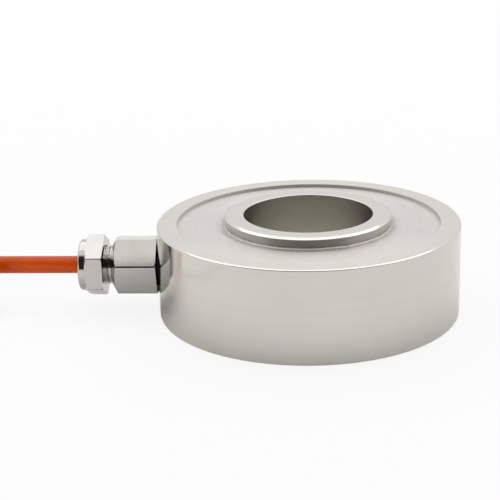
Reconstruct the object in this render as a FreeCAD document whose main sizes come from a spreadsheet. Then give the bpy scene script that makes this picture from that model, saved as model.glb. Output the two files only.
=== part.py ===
# Ring load cell with a side cable gland and its coiled lead, in millimetres.
# The origin is on the load axis at the base face, +Z is up, and the gland points along -X.
import FreeCAD, Part
import math
import os

import Sketcher

doc = FreeCAD.newDocument("ring_load_cell")

# Driving dimensions: name, value, what it measures
DIMENSIONS = [
    ("outer_diameter", 80.0, "cell body, outside"),
    ("rim_height", 24.5, "base to the outer rim"),
    ("hub_height", 26.5, "base to the load face on the hub"),
    ("bore_diameter", 34.0, "through hole"),
    ("hub_diameter", 44.0, "raised load ring, outside"),
    ("hub_ledge_diameter", 46.0, "step on the hub that carries the cover"),
    ("hub_ledge_thickness", 1.5, "thickness of that step"),
    ("recess_diameter", 69.5, "seat of the cover inside the rim"),
    ("cover_depth", 0.8, "rim down to the cover"),
    ("cover_thickness", 1.2, "welded cover ring"),
    ("weld_bead_width", 0.6, "bead along the hub, across"),
    ("weld_bead_height", 0.35, "bead along the hub, up"),
    ("seam_bevel", 0.2, "bevel on the cover's outer edge"),
    ("chamber_diameter", 67.0, "gauge chamber, outside"),
    ("column_diameter", 42.0, "measuring column that carries the gauges"),
    ("chamber_floor", 5.0, "base to the chamber floor"),
    ("base_round", 0.4, "rounding of the body's lower edge"),
    ("rim_bevel", 0.5, "bevel on the rim's outer edge"),
    ("hub_bevel", 0.65, "bevel on the load ring's outer edge"),
    ("bore_round", 0.25, "rounding at the top of the through hole"),
    ("gauge_thickness", 0.2, "strain gauge foil and carrier"),
    ("gauge_bottom", 8.5, "base to the lower edge of the gauges"),
    ("gauge_long_side", 9.0, "strain gauge, long side"),
    ("gauge_short_angle", 14.0, "axial gauge, degrees round the column"),
    ("gauge_long_angle", 25.0, "hoop gauge, degrees round the column"),
    ("gauge_short_side", 5.0, "hoop gauge, height"),
    ("gauge_lead_diameter", 0.3, "wire from a gauge to the board"),
    ("gauge_lead_spacing", 2.0, "between the two wires of a gauge"),
    ("gauge_lead_height", 3.2, "length of those wires"),
    ("board_inner_diameter", 42.4, "bridge board ring, inside"),
    ("board_outer_diameter", 64.0, "bridge board ring, outside"),
    ("board_thickness", 1.0, "bridge board"),
    ("chip_length", 3.2, "trim resistor, long side"),
    ("chip_width", 1.6, "trim resistor, short side"),
    ("chip_height", 0.6, "trim resistor, height"),
    ("chip_circle_radius", 27.0, "load axis to the trim resistors"),
    ("post_diameter", 1.3, "solder post"),
    ("post_height", 1.0, "solder post, height"),
    ("post_spacing", 2.4, "between neighbouring solder posts"),
    ("post_row_radius", 26.5, "load axis to the row of solder posts"),
    ("gland_height", 12.25, "base to the gland axis"),
    ("port_diameter", 8.0, "gland thread in the body wall"),
    ("o_ring_seat_diameter", 12.4, "counterbore for the gland's o-ring"),
    ("o_ring_seat_start", 38.8, "load axis to the counterbore floor"),
    ("o_ring_section", 1.4, "o-ring cross-section"),
    ("o_ring_diameter", 9.8, "o-ring, mid-section"),
    ("stub_start", 34.5, "load axis to the inner end of the gland"),
    ("hex_start", 40.2, "load axis to the hex block"),
    ("hex_end", 52.5, "load axis to the outer end of the hex block"),
    ("hex_across_flats", 15.0, "hex block"),
    ("hex_turn", 17.0, "hex block, degrees from corner up"),
    ("hex_edge_round", 0.8, "rounding of the hex block's long edges"),
    ("hex_foot_bevel", 0.4, "bevel on the hex block's corners beside the cell body"),
    ("hex_cone_diameter", 10.9, "small end of the hex block's cone"),
    ("neck_diameter", 10.6, "threaded neck"),
    ("neck_end", 58.6, "load axis to the end of the neck"),
    ("thread_root_depth", 0.3, "depth of the neck's run-out groove"),
    ("gland_bore_diameter", 5.1, "cable passage"),
    ("seal_pocket_diameter", 7.4, "pocket for the seal"),
    ("seal_pocket_start", 51.0, "load axis to the pocket's floor"),
    ("seal_pocket_cone", 0.8, "length of the cone at the pocket's floor"),
    ("seal_length", 8.1, "rubber seal"),
    ("washer_diameter", 9.2, "thrust washer, outside"),
    ("washer_hole_diameter", 5.3, "thrust washer, inside"),
    ("washer_thickness", 0.6, "thrust washer"),
    ("nut_start", 54.5, "load axis to the compression nut"),
    ("nut_hex_end", 59.2, "load axis to the end of the nut's flats"),
    ("nut_end", 61.2, "load axis to the end of the nut's cap"),
    ("nut_across_flats", 15.0, "compression nut"),
    ("nut_turn", 1.3, "compression nut, degrees from corner up"),
    ("nut_edge_round", 0.3, "rounding of the nut's long edges"),
    ("nut_foot_bevel", 0.3, "bevel on the nut's corners beside the hex block"),
    ("nut_cap_diameter", 13.8, "round cap of the nut"),
    ("nut_cap_round", 0.55, "rounding of the cap"),
    ("nut_hole_diameter", 5.3, "cable hole in the cap"),
    ("nut_thread_end", 59.0, "load axis to the end of the nut's thread"),
    ("thread_clearance", 0.05, "radial room between neck and nut"),
    ("cable_diameter", 4.75, "cable jacket"),
    ("cable_start", 32.8, "load axis to the inner end of the jacket"),
    ("core_straight", 1.8, "inner cores, straight out of the jacket"),
    ("core_diameter", 1.2, "insulated core"),
    ("core_circle_radius", 1.15, "cable axis to the cores"),
    ("cable_run_end", 107.5, "load axis to the place where the cable meets the coil"),
    ("coil_x", -120.0, "coil centre"),
    ("coil_y", -33.625, "coil centre"),
    ("coil_inner_diameter", 34.0, "coil, inside"),
    ("coil_columns", 4.0, "turns side by side"),
    ("coil_layers", 5.0, "turns on each other"),
    ("coil_outer_layers", 3.0, "turns on each other in the outermost column"),
    ("coil_last_turn_start", 150.0, "degrees where the last turn drops outside"),
    ("coil_last_turn_angle", 235.0, "degrees of that last turn"),
    ("tie_thickness", 1.1, "coil tie strap"),
    ("tie_width", 4.0, "coil tie strap"),
    ("tie_head_length", 6.0, "coil tie lock"),
    ("tie_head_width", 5.5, "coil tie lock"),
    ("tie_head_height", 3.6, "coil tie lock"),
    ("sleeve_diameter", 5.4, "shrink sleeve on the stripped end"),
    ("sleeve_angle", 24.0, "degrees of the coil that the sleeve covers"),
    ("lead_diameter", 1.3, "stripped leads"),
    ("lead_gap_angle", 0.2, "degrees between the sleeve and the leads"),
    ("lead_offset", 0.3, "leads out from the middle of the ledge"),
    ("tip_diameter", 0.8, "tinned tips"),
    ("tip_length", 5.0, "tinned tips"),
]

sheet = doc.addObject("Spreadsheet::Sheet", "Sizes")
for row, (name, value, note) in enumerate(DIMENSIONS, start=1):
    sheet.set(f"A{row}", note)
    sheet.set(f"B{row}", str(value))
    sheet.setAlias(f"B{row}", name)
doc.recompute()


class Size:
    """A length that carries its number and the sheet formula it comes from."""

    def __init__(self, number, formula):
        self.number = float(number)
        self.formula = formula

    def __add__(self, other):
        other = as_size(other)
        return Size(self.number + other.number, f"({self.formula} + {other.formula})")

    def __sub__(self, other):
        other = as_size(other)
        return Size(self.number - other.number, f"({self.formula} - {other.formula})")

    def __mul__(self, other):
        other = as_size(other)
        return Size(self.number * other.number, f"({self.formula} * {other.formula})")

    def __truediv__(self, other):
        other = as_size(other)
        return Size(self.number / other.number, f"({self.formula} / {other.formula})")

    def __neg__(self):
        return Size(-self.number, f"(0 - {self.formula})")


def as_size(value):
    """Plain numbers become sizes whose formula is the number itself."""
    if isinstance(value, Size):
        return value
    return Size(value, str(value))


def size(name):
    """The named cell of the sheet."""
    return Size(sheet.get(name), f"Sizes.{name}")


def radius(name):
    """Half of a diameter in the sheet."""
    return size(name) / 2


def bind(thing, path, value):
    """Tie one property of an object to the sheet."""
    thing.setExpression(path, as_size(value).formula)


nodes = []


def keep(thing, label):
    """Give a finished sub-part its name and list it for export."""
    thing.Label = label
    nodes.append(thing)
    return thing


# Building blocks

HEX_CORNER = 1 / math.sqrt(3)
CHAMFER_30 = math.tan(math.radians(30))


def new_body(name):
    body = doc.addObject("PartDesign::Body", name)
    body.AllowCompound = True
    return body


def origin_plane(body, role):
    for feature in body.Origin.OriginFeatures:
        if feature.Role == role:
            return feature
    raise ValueError(role)


def new_sketch(body, plane, offset=None):
    """A sketch on one of the body's own origin planes, moved along its normal by offset."""
    sketch = body.newObject("Sketcher::SketchObject", body.Name + "_sketch")
    sketch.AttachmentSupport = [(origin_plane(body, plane), "")]
    sketch.MapMode = "FlatFace"
    if offset is not None:
        bind(sketch, "AttachmentOffset.Base.z", offset)
    return sketch


def hold_point(sketch, geometry, position, x, y):
    """Dimension one point of a sketch from its origin."""
    for kind, axis, value in (("DistanceX", -2, as_size(x)), ("DistanceY", -1, as_size(y))):
        if value.number == 0:
            sketch.addConstraint(Sketcher.Constraint("PointOnObject", geometry, position, axis))
            continue
        index = sketch.addConstraint(Sketcher.Constraint(kind, -1, 1, geometry, position, value.number))
        bind(sketch, f"Constraints[{index}]", value)


def add_outline(sketch, points):
    """A closed outline of straight lines with every corner dimensioned."""
    corners = [FreeCAD.Vector(as_size(x).number, as_size(y).number, 0) for x, y in points]
    count = len(corners)
    first = sketch.GeometryCount
    for i in range(count):
        sketch.addGeometry(Part.LineSegment(corners[i], corners[(i + 1) % count]), False)
    for i in range(count):
        following = first + (i + 1) % count
        sketch.addConstraint(Sketcher.Constraint("Coincident", first + i, 2, following, 1))
    for i, (x, y) in enumerate(points):
        hold_point(sketch, first + i, 1, x, y)


def add_circle(sketch, x, y, circle_radius):
    """A circle with its centre and radius dimensioned."""
    centre = FreeCAD.Vector(as_size(x).number, as_size(y).number, 0)
    circle = Part.Circle(centre, FreeCAD.Vector(0, 0, 1), circle_radius.number)
    geometry = sketch.addGeometry(circle, False)
    index = sketch.addConstraint(Sketcher.Constraint("Radius", geometry, circle_radius.number))
    bind(sketch, f"Constraints[{index}]", circle_radius)
    hold_point(sketch, geometry, 3, x, y)


def revolve(body, points, axis, kind="Revolution", angle=360):
    """Turn an outline in the XZ plane about the sketch's own V or H axis."""
    sketch = new_sketch(body, "XZ_Plane")
    add_outline(sketch, points)
    feature = body.newObject(f"PartDesign::{kind}", f"{body.Name}_{kind}")
    feature.Profile = sketch
    feature.ReferenceAxis = (sketch, [axis])
    bind(feature, "Angle", angle)
    return feature


def groove(body, points, axis):
    """Turn an outline out of the body, and make sure that it took material away."""
    doc.recompute()
    before = body.Shape.Volume
    feature = revolve(body, points, axis, kind="Groove")
    doc.recompute()
    if not body.Shape.Volume < before:
        raise ValueError(f"{body.Name}: the groove cut nothing")
    return feature


def pocket(body, sketch):
    """Cut a sketch right through, against its normal, and make sure that it cut."""
    doc.recompute()
    before = body.Shape.Volume
    feature = body.newObject("PartDesign::Pocket", body.Name + "_pocket")
    feature.Profile = sketch
    feature.Type = "ThroughAll"
    doc.recompute()
    if not body.Shape.Volume < before:
        raise ValueError(f"{body.Name}: the pocket cut nothing")
    return feature


def pad(body, sketch, length, midplane=False):
    feature = body.newObject("PartDesign::Pad", body.Name + "_pad")
    feature.Profile = sketch
    feature.SideType = "Symmetric" if midplane else "One side"
    bind(feature, "Length", length)
    return feature


def around_load_axis(body, feature, count):
    """Repeat a feature evenly round the body's own Z axis."""
    doc.recompute()
    pattern = body.newObject("PartDesign::PolarPattern", body.Name + "_pattern")
    pattern.Originals = [feature]
    pattern.Axis = (feature.Profile[0], ["N_Axis"])
    pattern.Angle = 360
    pattern.Occurrences = count
    body.Tip = pattern
    return pattern


SAME_PLACE = 1e-6


def circle_edge(shape, centre, edge_radius):
    """Name of the round edge with this centre and radius."""
    for index, edge in enumerate(shape.Edges, start=1):
        if not isinstance(edge.Curve, Part.Circle):
            continue
        same_centre = (edge.Curve.Center - centre).Length < SAME_PLACE
        if same_centre and abs(edge.Curve.Radius - edge_radius.number) < SAME_PLACE:
            return f"Edge{index}"
    raise ValueError("no such edge")


def long_edges(shape):
    """Names of the straight edges along the shape's X axis."""
    names = []
    for index, edge in enumerate(shape.Edges, start=1):
        straight = isinstance(edge.Curve, Part.Line)
        if straight and abs(edge.Curve.Direction.x) > 1 - SAME_PLACE:
            names.append(f"Edge{index}")
    return names


def round_off(body, feature, edges, rounding):
    """Round some edges of the body's latest feature."""
    fillet = body.newObject("PartDesign::Fillet", body.Name + "_rounding")
    fillet.Base = (feature, edges)
    bind(fillet, "Radius", rounding)
    doc.recompute()
    return fillet


def hex_prism(body, across_flats, turn, start, end, rounding):
    """A hexagonal bar along the body's own X axis, turned from corner-up, with rounded long edges."""
    prism = body.newObject("PartDesign::AdditivePrism", body.Name + "_hex")
    prism.AttachmentSupport = [(origin_plane(body, "YZ_Plane"), "")]
    prism.MapMode = "FlatFace"
    prism.Polygon = 6
    bind(prism, "Circumradius", across_flats * HEX_CORNER)
    bind(prism, "Height", end - start)
    bind(prism, "AttachmentOffset.Base.z", start)
    bind(prism, "AttachmentOffset.Rotation.Angle", as_size(90) - turn)
    doc.recompute()
    round_off(body, prism, long_edges(prism.Shape), rounding)


def along_gland(thing):
    """Place a piece whose own X axis runs outwards along the gland."""
    outwards = FreeCAD.Rotation(FreeCAD.Vector(0, 0, 1), 180)
    thing.Placement = FreeCAD.Placement(FreeCAD.Vector(0, 0, 0), outwards)
    bind(thing, "Placement.Base.z", size("gland_height"))


def tube_path(points):
    """Straight runs joined by tangent arcs as large as the runs allow, and the arcs' radii."""
    edges = []
    radii = []
    start = points[0]
    for before, corner, after in zip(points, points[1:], points[2:]):
        back = before - corner
        onward = after - corner
        reach = 0.45 * min(back.Length, onward.Length)
        half_turn = (math.pi - back.getAngle(onward)) / 2
        radii.append(reach / math.tan(half_turn))
        arc_start = corner + back.normalize() * reach
        arc_end = corner + onward.normalize() * reach
        chord_middle = (arc_start + arc_end) / 2
        inwards = (chord_middle - corner).normalize()
        sagitta = radii[-1] * (1 / math.cos(half_turn) - 1)
        edges.append(Part.LineSegment(start, arc_start).toShape())
        edges.append(Part.Arc(arc_start, corner + inwards * sagitta, arc_end).toShape())
        start = arc_end
    edges.append(Part.LineSegment(start, points[-1]).toShape())
    return Part.Wire(edges), radii


def bent_tube(label, points, diameter):
    """A round wire along a route, with its volume compared with section times length."""
    path, radii = tube_path(points)
    direction = points[1] - points[0]
    section = Part.Wire(Part.makeCircle(diameter / 2, points[0], direction))
    wire = path.makePipeShell([section], True, False)
    expected = math.pi * diameter ** 2 / 4 * path.Length
    smallest = min(radii) if radii else 0
    print(f"{label}: length {path.Length:.1f}, smallest bend {smallest:.1f}, volume {wire.Volume / expected:.4f}")
    thing = doc.addObject("Part::Feature", label)
    thing.Shape = wire
    return keep(thing, label)


# Cell body: one turned piece with an annular gauge chamber under the cover

outer_radius = radius("outer_diameter")
bore_radius = radius("bore_diameter")
hub_radius = radius("hub_diameter")
recess_radius = radius("recess_diameter")
column_radius = radius("column_diameter")
chamber_radius = radius("chamber_diameter")
cover_top = size("rim_height") - size("cover_depth")
cover_seat = cover_top - size("cover_thickness")


def make_cell_body():
    body = new_body("cell_body")
    hub_ledge_radius = radius("hub_ledge_diameter")
    rim_bevel = size("rim_bevel")
    hub_bevel = size("hub_bevel")
    turned = revolve(body, [
        (bore_radius, 0),
        (outer_radius, 0),
        (outer_radius, size("rim_height") - rim_bevel),
        (outer_radius - rim_bevel, size("rim_height")),
        (recess_radius, size("rim_height")),
        (recess_radius, cover_seat),
        (chamber_radius, cover_seat),
        (chamber_radius, size("chamber_floor")),
        (column_radius, size("chamber_floor")),
        (column_radius, cover_seat - size("hub_ledge_thickness")),
        (hub_ledge_radius, cover_seat - size("hub_ledge_thickness")),
        (hub_ledge_radius, cover_seat),
        (hub_radius, cover_seat),
        (hub_radius, size("hub_height") - hub_bevel),
        (hub_radius - hub_bevel, size("hub_height")),
        (bore_radius, size("hub_height")),
    ], "V_Axis")
    doc.recompute()
    base_centre = FreeCAD.Vector(0, 0, 0)
    hub_centre = FreeCAD.Vector(0, 0, size("hub_height").number)
    base_edge = circle_edge(turned.Shape, base_centre, outer_radius)
    rounded = round_off(body, turned, [base_edge], size("base_round"))
    bore_edge = circle_edge(rounded.Shape, hub_centre, bore_radius)
    round_off(body, rounded, [bore_edge], size("bore_round"))
    chamber_middle = (column_radius + chamber_radius) / 2
    port = new_sketch(body, "YZ_Plane", offset=-chamber_middle)
    add_circle(port, 0, size("gland_height"), radius("port_diameter"))
    pocket(body, port)
    seat = new_sketch(body, "YZ_Plane", offset=-size("o_ring_seat_start"))
    add_circle(seat, 0, size("gland_height"), radius("o_ring_seat_diameter"))
    pocket(body, seat)
    keep(body, "cell_body")


def make_cover_ring():
    body = new_body("top_cover_ring")
    seam = size("seam_bevel")
    bead_top = cover_top + size("weld_bead_height")
    revolve(body, [
        (hub_radius, cover_seat),
        (recess_radius, cover_seat),
        (recess_radius, cover_top - seam),
        (recess_radius - seam, cover_top),
        (hub_radius + size("weld_bead_width"), cover_top),
        (hub_radius + size("weld_bead_width") / 2, bead_top),
        (hub_radius, bead_top),
    ], "V_Axis")
    keep(body, "top_cover_ring")


# Strain gauges and bridge board inside the chamber

GAUGES_EACH_WAY = 4
board_top = size("chamber_floor") + size("board_thickness")


def make_gauges(label, height, angle, first_direction):
    """Four gauges bonded round the column, the first one centred on a direction in degrees."""
    body = new_body(label)
    outside = column_radius + size("gauge_thickness")
    bottom = size("gauge_bottom")
    patch = revolve(body, [
        (column_radius, bottom),
        (outside, bottom),
        (outside, bottom + height),
        (column_radius, bottom + height),
    ], "V_Axis", angle=angle)
    patch.Midplane = True
    doc.recompute()
    pattern = body.newObject("PartDesign::PolarPattern", label + "_pattern")
    pattern.Originals = [patch]
    pattern.Axis = (patch.Profile[0], ["V_Axis"])
    pattern.Angle = 360
    pattern.Occurrences = GAUGES_EACH_WAY
    body.Tip = pattern
    body.Placement.Rotation = FreeCAD.Rotation(FreeCAD.Vector(0, 0, 1), first_direction)
    keep(body, label)


def make_gauge_leads():
    """Two fine wires from each gauge straight down to the board."""
    body = new_body("gauge_leads")
    lead_radius = radius("gauge_lead_diameter")
    wire_circle = column_radius + size("gauge_thickness") + lead_radius
    sketch = new_sketch(body, "XY_Plane", offset=board_top)
    for side in (-1, 1):
        add_circle(sketch, wire_circle, size("gauge_lead_spacing") * side / 2, lead_radius)
    around_load_axis(body, pad(body, sketch, size("gauge_lead_height")), 2 * GAUGES_EACH_WAY)
    keep(body, "gauge_leads")


def make_bridge_board():
    body = new_body("bridge_board")
    inside = radius("board_inner_diameter")
    outside = radius("board_outer_diameter")
    floor = size("chamber_floor")
    revolve(body, [(inside, floor), (outside, floor), (outside, board_top), (inside, board_top)], "V_Axis")
    keep(body, "bridge_board")


TRIM_RESISTORS = 6
TRIM_RESISTOR_START = 30


def make_trim_resistors():
    body = new_body("trim_resistors")
    middle = size("chip_circle_radius")
    half_long = size("chip_length") / 2
    half_short = size("chip_width") / 2
    sketch = new_sketch(body, "XY_Plane", offset=board_top)
    add_outline(sketch, [
        (middle - half_short, -half_long),
        (middle + half_short, -half_long),
        (middle + half_short, half_long),
        (middle - half_short, half_long),
    ])
    around_load_axis(body, pad(body, sketch, size("chip_height")), TRIM_RESISTORS)
    body.Placement.Rotation = FreeCAD.Rotation(FreeCAD.Vector(0, 0, 1), TRIM_RESISTOR_START)
    keep(body, "trim_resistors")


# The five conductors of the cable in their order on the solder posts, and each one's direction
# in degrees about the cable axis
CONDUCTORS = {"red": 162, "black": 234, "green": 90, "white": 306, "shield": 18}


def post_offset(index):
    """Place of a conductor's solder post along the row, from the middle."""
    return size("post_spacing") * (index - (len(CONDUCTORS) - 1) / 2)


def make_solder_posts():
    body = new_body("solder_posts")
    sketch = new_sketch(body, "XY_Plane", offset=board_top)
    for index in range(len(CONDUCTORS)):
        add_circle(sketch, -size("post_row_radius"), post_offset(index), radius("post_diameter"))
    pad(body, sketch, size("post_height"))
    keep(body, "solder_posts")


def make_inner_cores():
    """Each conductor leaves the jacket, turns down and ends on its solder post."""
    start_x = -size("cable_start").number
    post_x = -size("post_row_radius").number
    middle_z = size("gland_height").number
    post_top = (board_top + size("post_height")).number
    circle = size("core_circle_radius").number
    for index, (colour, direction) in enumerate(CONDUCTORS.items()):
        around = math.radians(direction)
        start = FreeCAD.Vector(start_x, circle * math.cos(around), middle_z + circle * math.sin(around))
        straight = start + FreeCAD.Vector(size("core_straight").number, 0, 0)
        post_y = post_offset(index).number
        corner = FreeCAD.Vector(post_x, post_y, start.z)
        end = FreeCAD.Vector(post_x, post_y, post_top)
        in_line = abs(post_y - start.y) < size("core_diameter").number / 2
        route = [start, corner, end] if in_line else [start, straight, corner, end]
        bent_tube(f"inner_core_{colour}", route, size("core_diameter").number)


# Cable gland, built along its own X axis and then turned to point along -X


def make_gland_body():
    body = new_body("gland_body")
    hex_start = size("hex_start")
    hex_end = size("hex_end")
    corner = size("hex_across_flats") * HEX_CORNER
    stub_radius = radius("port_diameter") - size("thread_clearance")
    neck_radius = radius("neck_diameter")
    root = size("thread_root_depth")
    rounding = size("hex_edge_round")
    hex_prism(body, size("hex_across_flats"), size("hex_turn"), hex_start, hex_end, rounding)
    revolve(body, [
        (size("stub_start"), 0),
        (size("neck_end"), 0),
        (size("neck_end"), neck_radius - root),
        (size("neck_end") - root, neck_radius),
        (hex_end + root * 2, neck_radius),
        (hex_end + root, neck_radius - root),
        (hex_start, neck_radius - root),
        (hex_start, stub_radius),
        (size("stub_start") + root, stub_radius),
        (size("stub_start"), stub_radius - root),
    ], "H_Axis")
    cone_radius = radius("hex_cone_diameter")
    cone_length = (corner - cone_radius) * CHAMFER_30
    groove(body, [
        (hex_end, cone_radius),
        (hex_end, corner + 1),
        (hex_end - cone_length, corner + 1),
        (hex_end - cone_length, corner),
    ], "H_Axis")
    bevel = size("hex_foot_bevel")
    groove(body, [
        (hex_start, corner - bevel),
        (hex_start + bevel, corner),
        (hex_start + bevel, corner + 1),
        (hex_start, corner + 1),
    ], "H_Axis")
    passage = radius("gland_bore_diameter")
    seal_pocket = radius("seal_pocket_diameter")
    groove(body, [
        (size("stub_start") - 1, 0),
        (size("neck_end") + 1, 0),
        (size("neck_end") + 1, seal_pocket),
        (size("seal_pocket_start"), seal_pocket),
        (size("seal_pocket_start") - size("seal_pocket_cone"), passage),
        (size("stub_start") - 1, passage),
    ], "H_Axis")
    along_gland(body)
    keep(body, "gland_body")


def make_gland_o_ring():
    ring = doc.addObject("Part::Torus", "gland_o_ring")
    bind(ring, "Radius1", radius("o_ring_diameter"))
    bind(ring, "Radius2", radius("o_ring_section"))
    ring.Placement.Rotation = FreeCAD.Rotation(FreeCAD.Vector(0, 1, 0), 90)
    bind(ring, "Placement.Base.x", -(size("o_ring_seat_start") + radius("o_ring_section")))
    bind(ring, "Placement.Base.z", size("gland_height"))
    keep(ring, "gland_o_ring")


seal_end = size("seal_pocket_start") + size("seal_length")


def make_seal_insert():
    """Rubber sleeve round the cable, with a tapered nose in the pocket's cone."""
    body = new_body("seal_insert")
    start = size("seal_pocket_start")
    outside = radius("seal_pocket_diameter") - size("thread_clearance")
    nose = size("seal_pocket_cone")
    inside = radius("cable_diameter")
    revolve(body, [
        (start, inside),
        (seal_end, inside),
        (seal_end, outside),
        (start + nose, outside),
        (start, outside - nose),
    ], "H_Axis")
    along_gland(body)
    keep(body, "seal_insert")


def make_thrust_washer():
    body = new_body("thrust_washer")
    end = seal_end + size("washer_thickness")
    inside = radius("washer_hole_diameter")
    outside = radius("washer_diameter")
    revolve(body, [(seal_end, inside), (end, inside), (end, outside), (seal_end, outside)], "H_Axis")
    along_gland(body)
    keep(body, "thrust_washer")


def make_compression_nut():
    body = new_body("compression_nut")
    start = size("nut_start")
    hex_end = size("nut_hex_end")
    end = size("nut_end")
    corner = size("nut_across_flats") * HEX_CORNER
    cap_radius = radius("nut_cap_diameter")
    hole = radius("nut_hole_diameter")
    hex_prism(body, size("nut_across_flats"), size("nut_turn"), start, hex_end, size("nut_edge_round"))
    bevel = size("nut_foot_bevel")
    groove(body, [
        (start, corner - bevel),
        (start + bevel, corner),
        (start + bevel, corner + 1),
        (start, corner + 1),
    ], "H_Axis")
    cap = revolve(body, [(start, 0), (end, 0), (end, cap_radius), (start, cap_radius)], "H_Axis")
    doc.recompute()
    cap_edge = circle_edge(cap.Shape, FreeCAD.Vector(end.number, 0, 0), cap_radius)
    round_off(body, cap, [cap_edge], size("nut_cap_round"))
    thread = radius("neck_diameter") + size("thread_clearance")
    washer_room = radius("washer_diameter") + size("thread_clearance")
    shoulder = seal_end + size("washer_thickness")
    groove(body, [
        (start - 1, 0),
        (end + 1, 0),
        (end + 1, hole),
        (shoulder, hole),
        (shoulder, washer_room),
        (size("nut_thread_end"), washer_room),
        (size("nut_thread_end"), thread),
        (start - 1, thread),
    ], "H_Axis")
    along_gland(body)
    keep(body, "compression_nut")


def make_cable_in_gland():
    """Jacketed cable from the chamber to the nut's face."""
    cable = doc.addObject("Part::Cylinder", "cable_in_gland")
    bind(cable, "Radius", radius("cable_diameter"))
    bind(cable, "Height", size("nut_end") - size("cable_start"))
    cable.Placement.Rotation = FreeCAD.Rotation(FreeCAD.Vector(0, 1, 0), -90)
    bind(cable, "Placement.Base.x", -size("cable_start"))
    bind(cable, "Placement.Base.z", size("gland_height"))
    keep(cable, "cable_in_gland")


# Free cable: a straight run into a tied coil that lies on the surface the cell stands on

cable_diameter = size("cable_diameter")
coil_inside = radius("coil_inner_diameter")
coil_outside = coil_inside + cable_diameter * size("coil_columns")
coil_step = coil_outside - cable_diameter
coil_base = size("tie_thickness")
coil_ledge = coil_base + cable_diameter * size("coil_outer_layers")
coil_top = coil_base + cable_diameter * size("coil_layers")
corner_cut = cable_diameter / 4


def at_coil(thing, direction=0):
    """Place a piece built about the Z axis at the coil's centre, turned by degrees."""
    thing.Placement.Rotation = FreeCAD.Rotation(FreeCAD.Vector(0, 0, 1), direction)
    bind(thing, "Placement.Base.x", size("coil_x"))
    bind(thing, "Placement.Base.y", size("coil_y"))


def make_cable_coil():
    """Outer shape of the coil: full columns inside, a lower one outside, and the last turn on it."""
    body = new_body("cable_coil")
    last_turn_top = coil_ledge + cable_diameter
    revolve(body, [
        (coil_inside, coil_base + corner_cut),
        (coil_inside + corner_cut, coil_base),
        (coil_outside - corner_cut, coil_base),
        (coil_outside, coil_base + corner_cut),
        (coil_outside, coil_ledge),
        (coil_step, coil_ledge),
        (coil_step, coil_top - corner_cut),
        (coil_step - corner_cut, coil_top),
        (coil_inside + corner_cut, coil_top),
        (coil_inside, coil_top - corner_cut),
    ], "V_Axis")
    revolve(body, [
        (coil_step - corner_cut, coil_ledge - corner_cut),
        (coil_outside - corner_cut, coil_ledge - corner_cut),
        (coil_outside, coil_ledge),
        (coil_outside, last_turn_top - corner_cut),
        (coil_outside - corner_cut, last_turn_top),
        (coil_step - corner_cut, last_turn_top),
    ], "V_Axis", angle=size("coil_last_turn_angle"))
    at_coil(body, size("coil_last_turn_start").number)
    return keep(body, "cable_coil")


def make_cable_run(coil):
    """The stretch from the nut straight into the coil's outermost column."""
    tube = doc.addObject("Part::Cylinder", "cable_run_tube")
    bind(tube, "Radius", cable_diameter / 2)
    bind(tube, "Height", size("cable_run_end") - size("nut_end"))
    tube.Placement.Rotation = FreeCAD.Rotation(FreeCAD.Vector(0, 1, 0), -90)
    bind(tube, "Placement.Base.x", -size("nut_end"))
    bind(tube, "Placement.Base.z", size("gland_height"))
    run = doc.addObject("Part::Cut", "cable_run")
    run.Base = tube
    run.Tool = coil
    keep(run, "cable_run")


TIE_DIRECTIONS = [20, 250]


def make_coil_tie(label, direction):
    """A strap round the coil's section with its lock on top."""
    body = new_body(label)
    strap = size("tie_thickness")
    slack = size("seam_bevel")
    inner = [
        (coil_inside - slack, coil_base),
        (coil_outside, coil_base),
        (coil_outside, coil_ledge + cable_diameter),
        (coil_step, coil_top),
        (coil_inside - slack, coil_top),
    ]
    outer = [
        (coil_inside - slack - strap, coil_base - strap),
        (coil_outside + strap, coil_base - strap),
        (coil_outside + strap, coil_ledge + cable_diameter + strap / 2),
        (coil_step + strap / 2, coil_top + strap),
        (coil_inside - slack - strap, coil_top + strap),
    ]
    sketch = new_sketch(body, "XZ_Plane")
    add_outline(sketch, inner)
    add_outline(sketch, outer)
    pad(body, sketch, size("tie_width"), midplane=True)
    lock_start = coil_inside + cable_diameter
    lock_end = lock_start + size("tie_head_length")
    lock_base = coil_top + strap / 2
    lock = new_sketch(body, "XZ_Plane")
    add_outline(lock, [
        (lock_start, lock_base),
        (lock_end, lock_base),
        (lock_end - strap / 2, coil_top + size("tie_head_height")),
        (lock_start + strap / 2, coil_top + size("tie_head_height")),
    ])
    pad(body, lock, size("tie_head_width"), midplane=True)
    at_coil(body, direction)
    keep(body, label)


# The stripped far end, lying on the coil's outer ledge

sleeve_start = size("coil_last_turn_start") + size("coil_last_turn_angle")
sleeve_radius = radius("sleeve_diameter")
sleeve_circle = coil_step + sleeve_radius
sleeve_middle = coil_ledge + sleeve_radius


def make_end_sleeve():
    sleeve = doc.addObject("Part::Torus", "end_sleeve")
    bind(sleeve, "Radius1", sleeve_circle)
    bind(sleeve, "Radius2", sleeve_radius)
    bind(sleeve, "Angle3", size("sleeve_angle"))
    at_coil(sleeve, sleeve_start.number)
    bind(sleeve, "Placement.Base.z", sleeve_middle)
    keep(sleeve, "end_sleeve")


# Each lead: offset out and up from the sleeve's axis where it leaves, and from the ledge's
# middle where it lies, and the degrees of the coil that it spans
LEAD_ROUTES = {
    "red": ((-1.2, -0.4), (-1.48, 0.0), 68),
    "black": ((0.75, 1.0), (0.75, 1.25), 66),
    "green": ((0.0, -1.25), (0.0, 0.0), 71),
    "white": ((1.2, -0.4), (1.48, 0.0), 69),
    "shield": ((-0.75, 1.0), (-0.75, 1.25), 64),
}
# Degrees along a lead where its route has a point, and how far it has settled there
LEAD_STATIONS = [(0, 0.0), (9, 0.06), (20, 0.5), (32, 0.92), (45, 1.0), (58, 1.0)]


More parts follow.
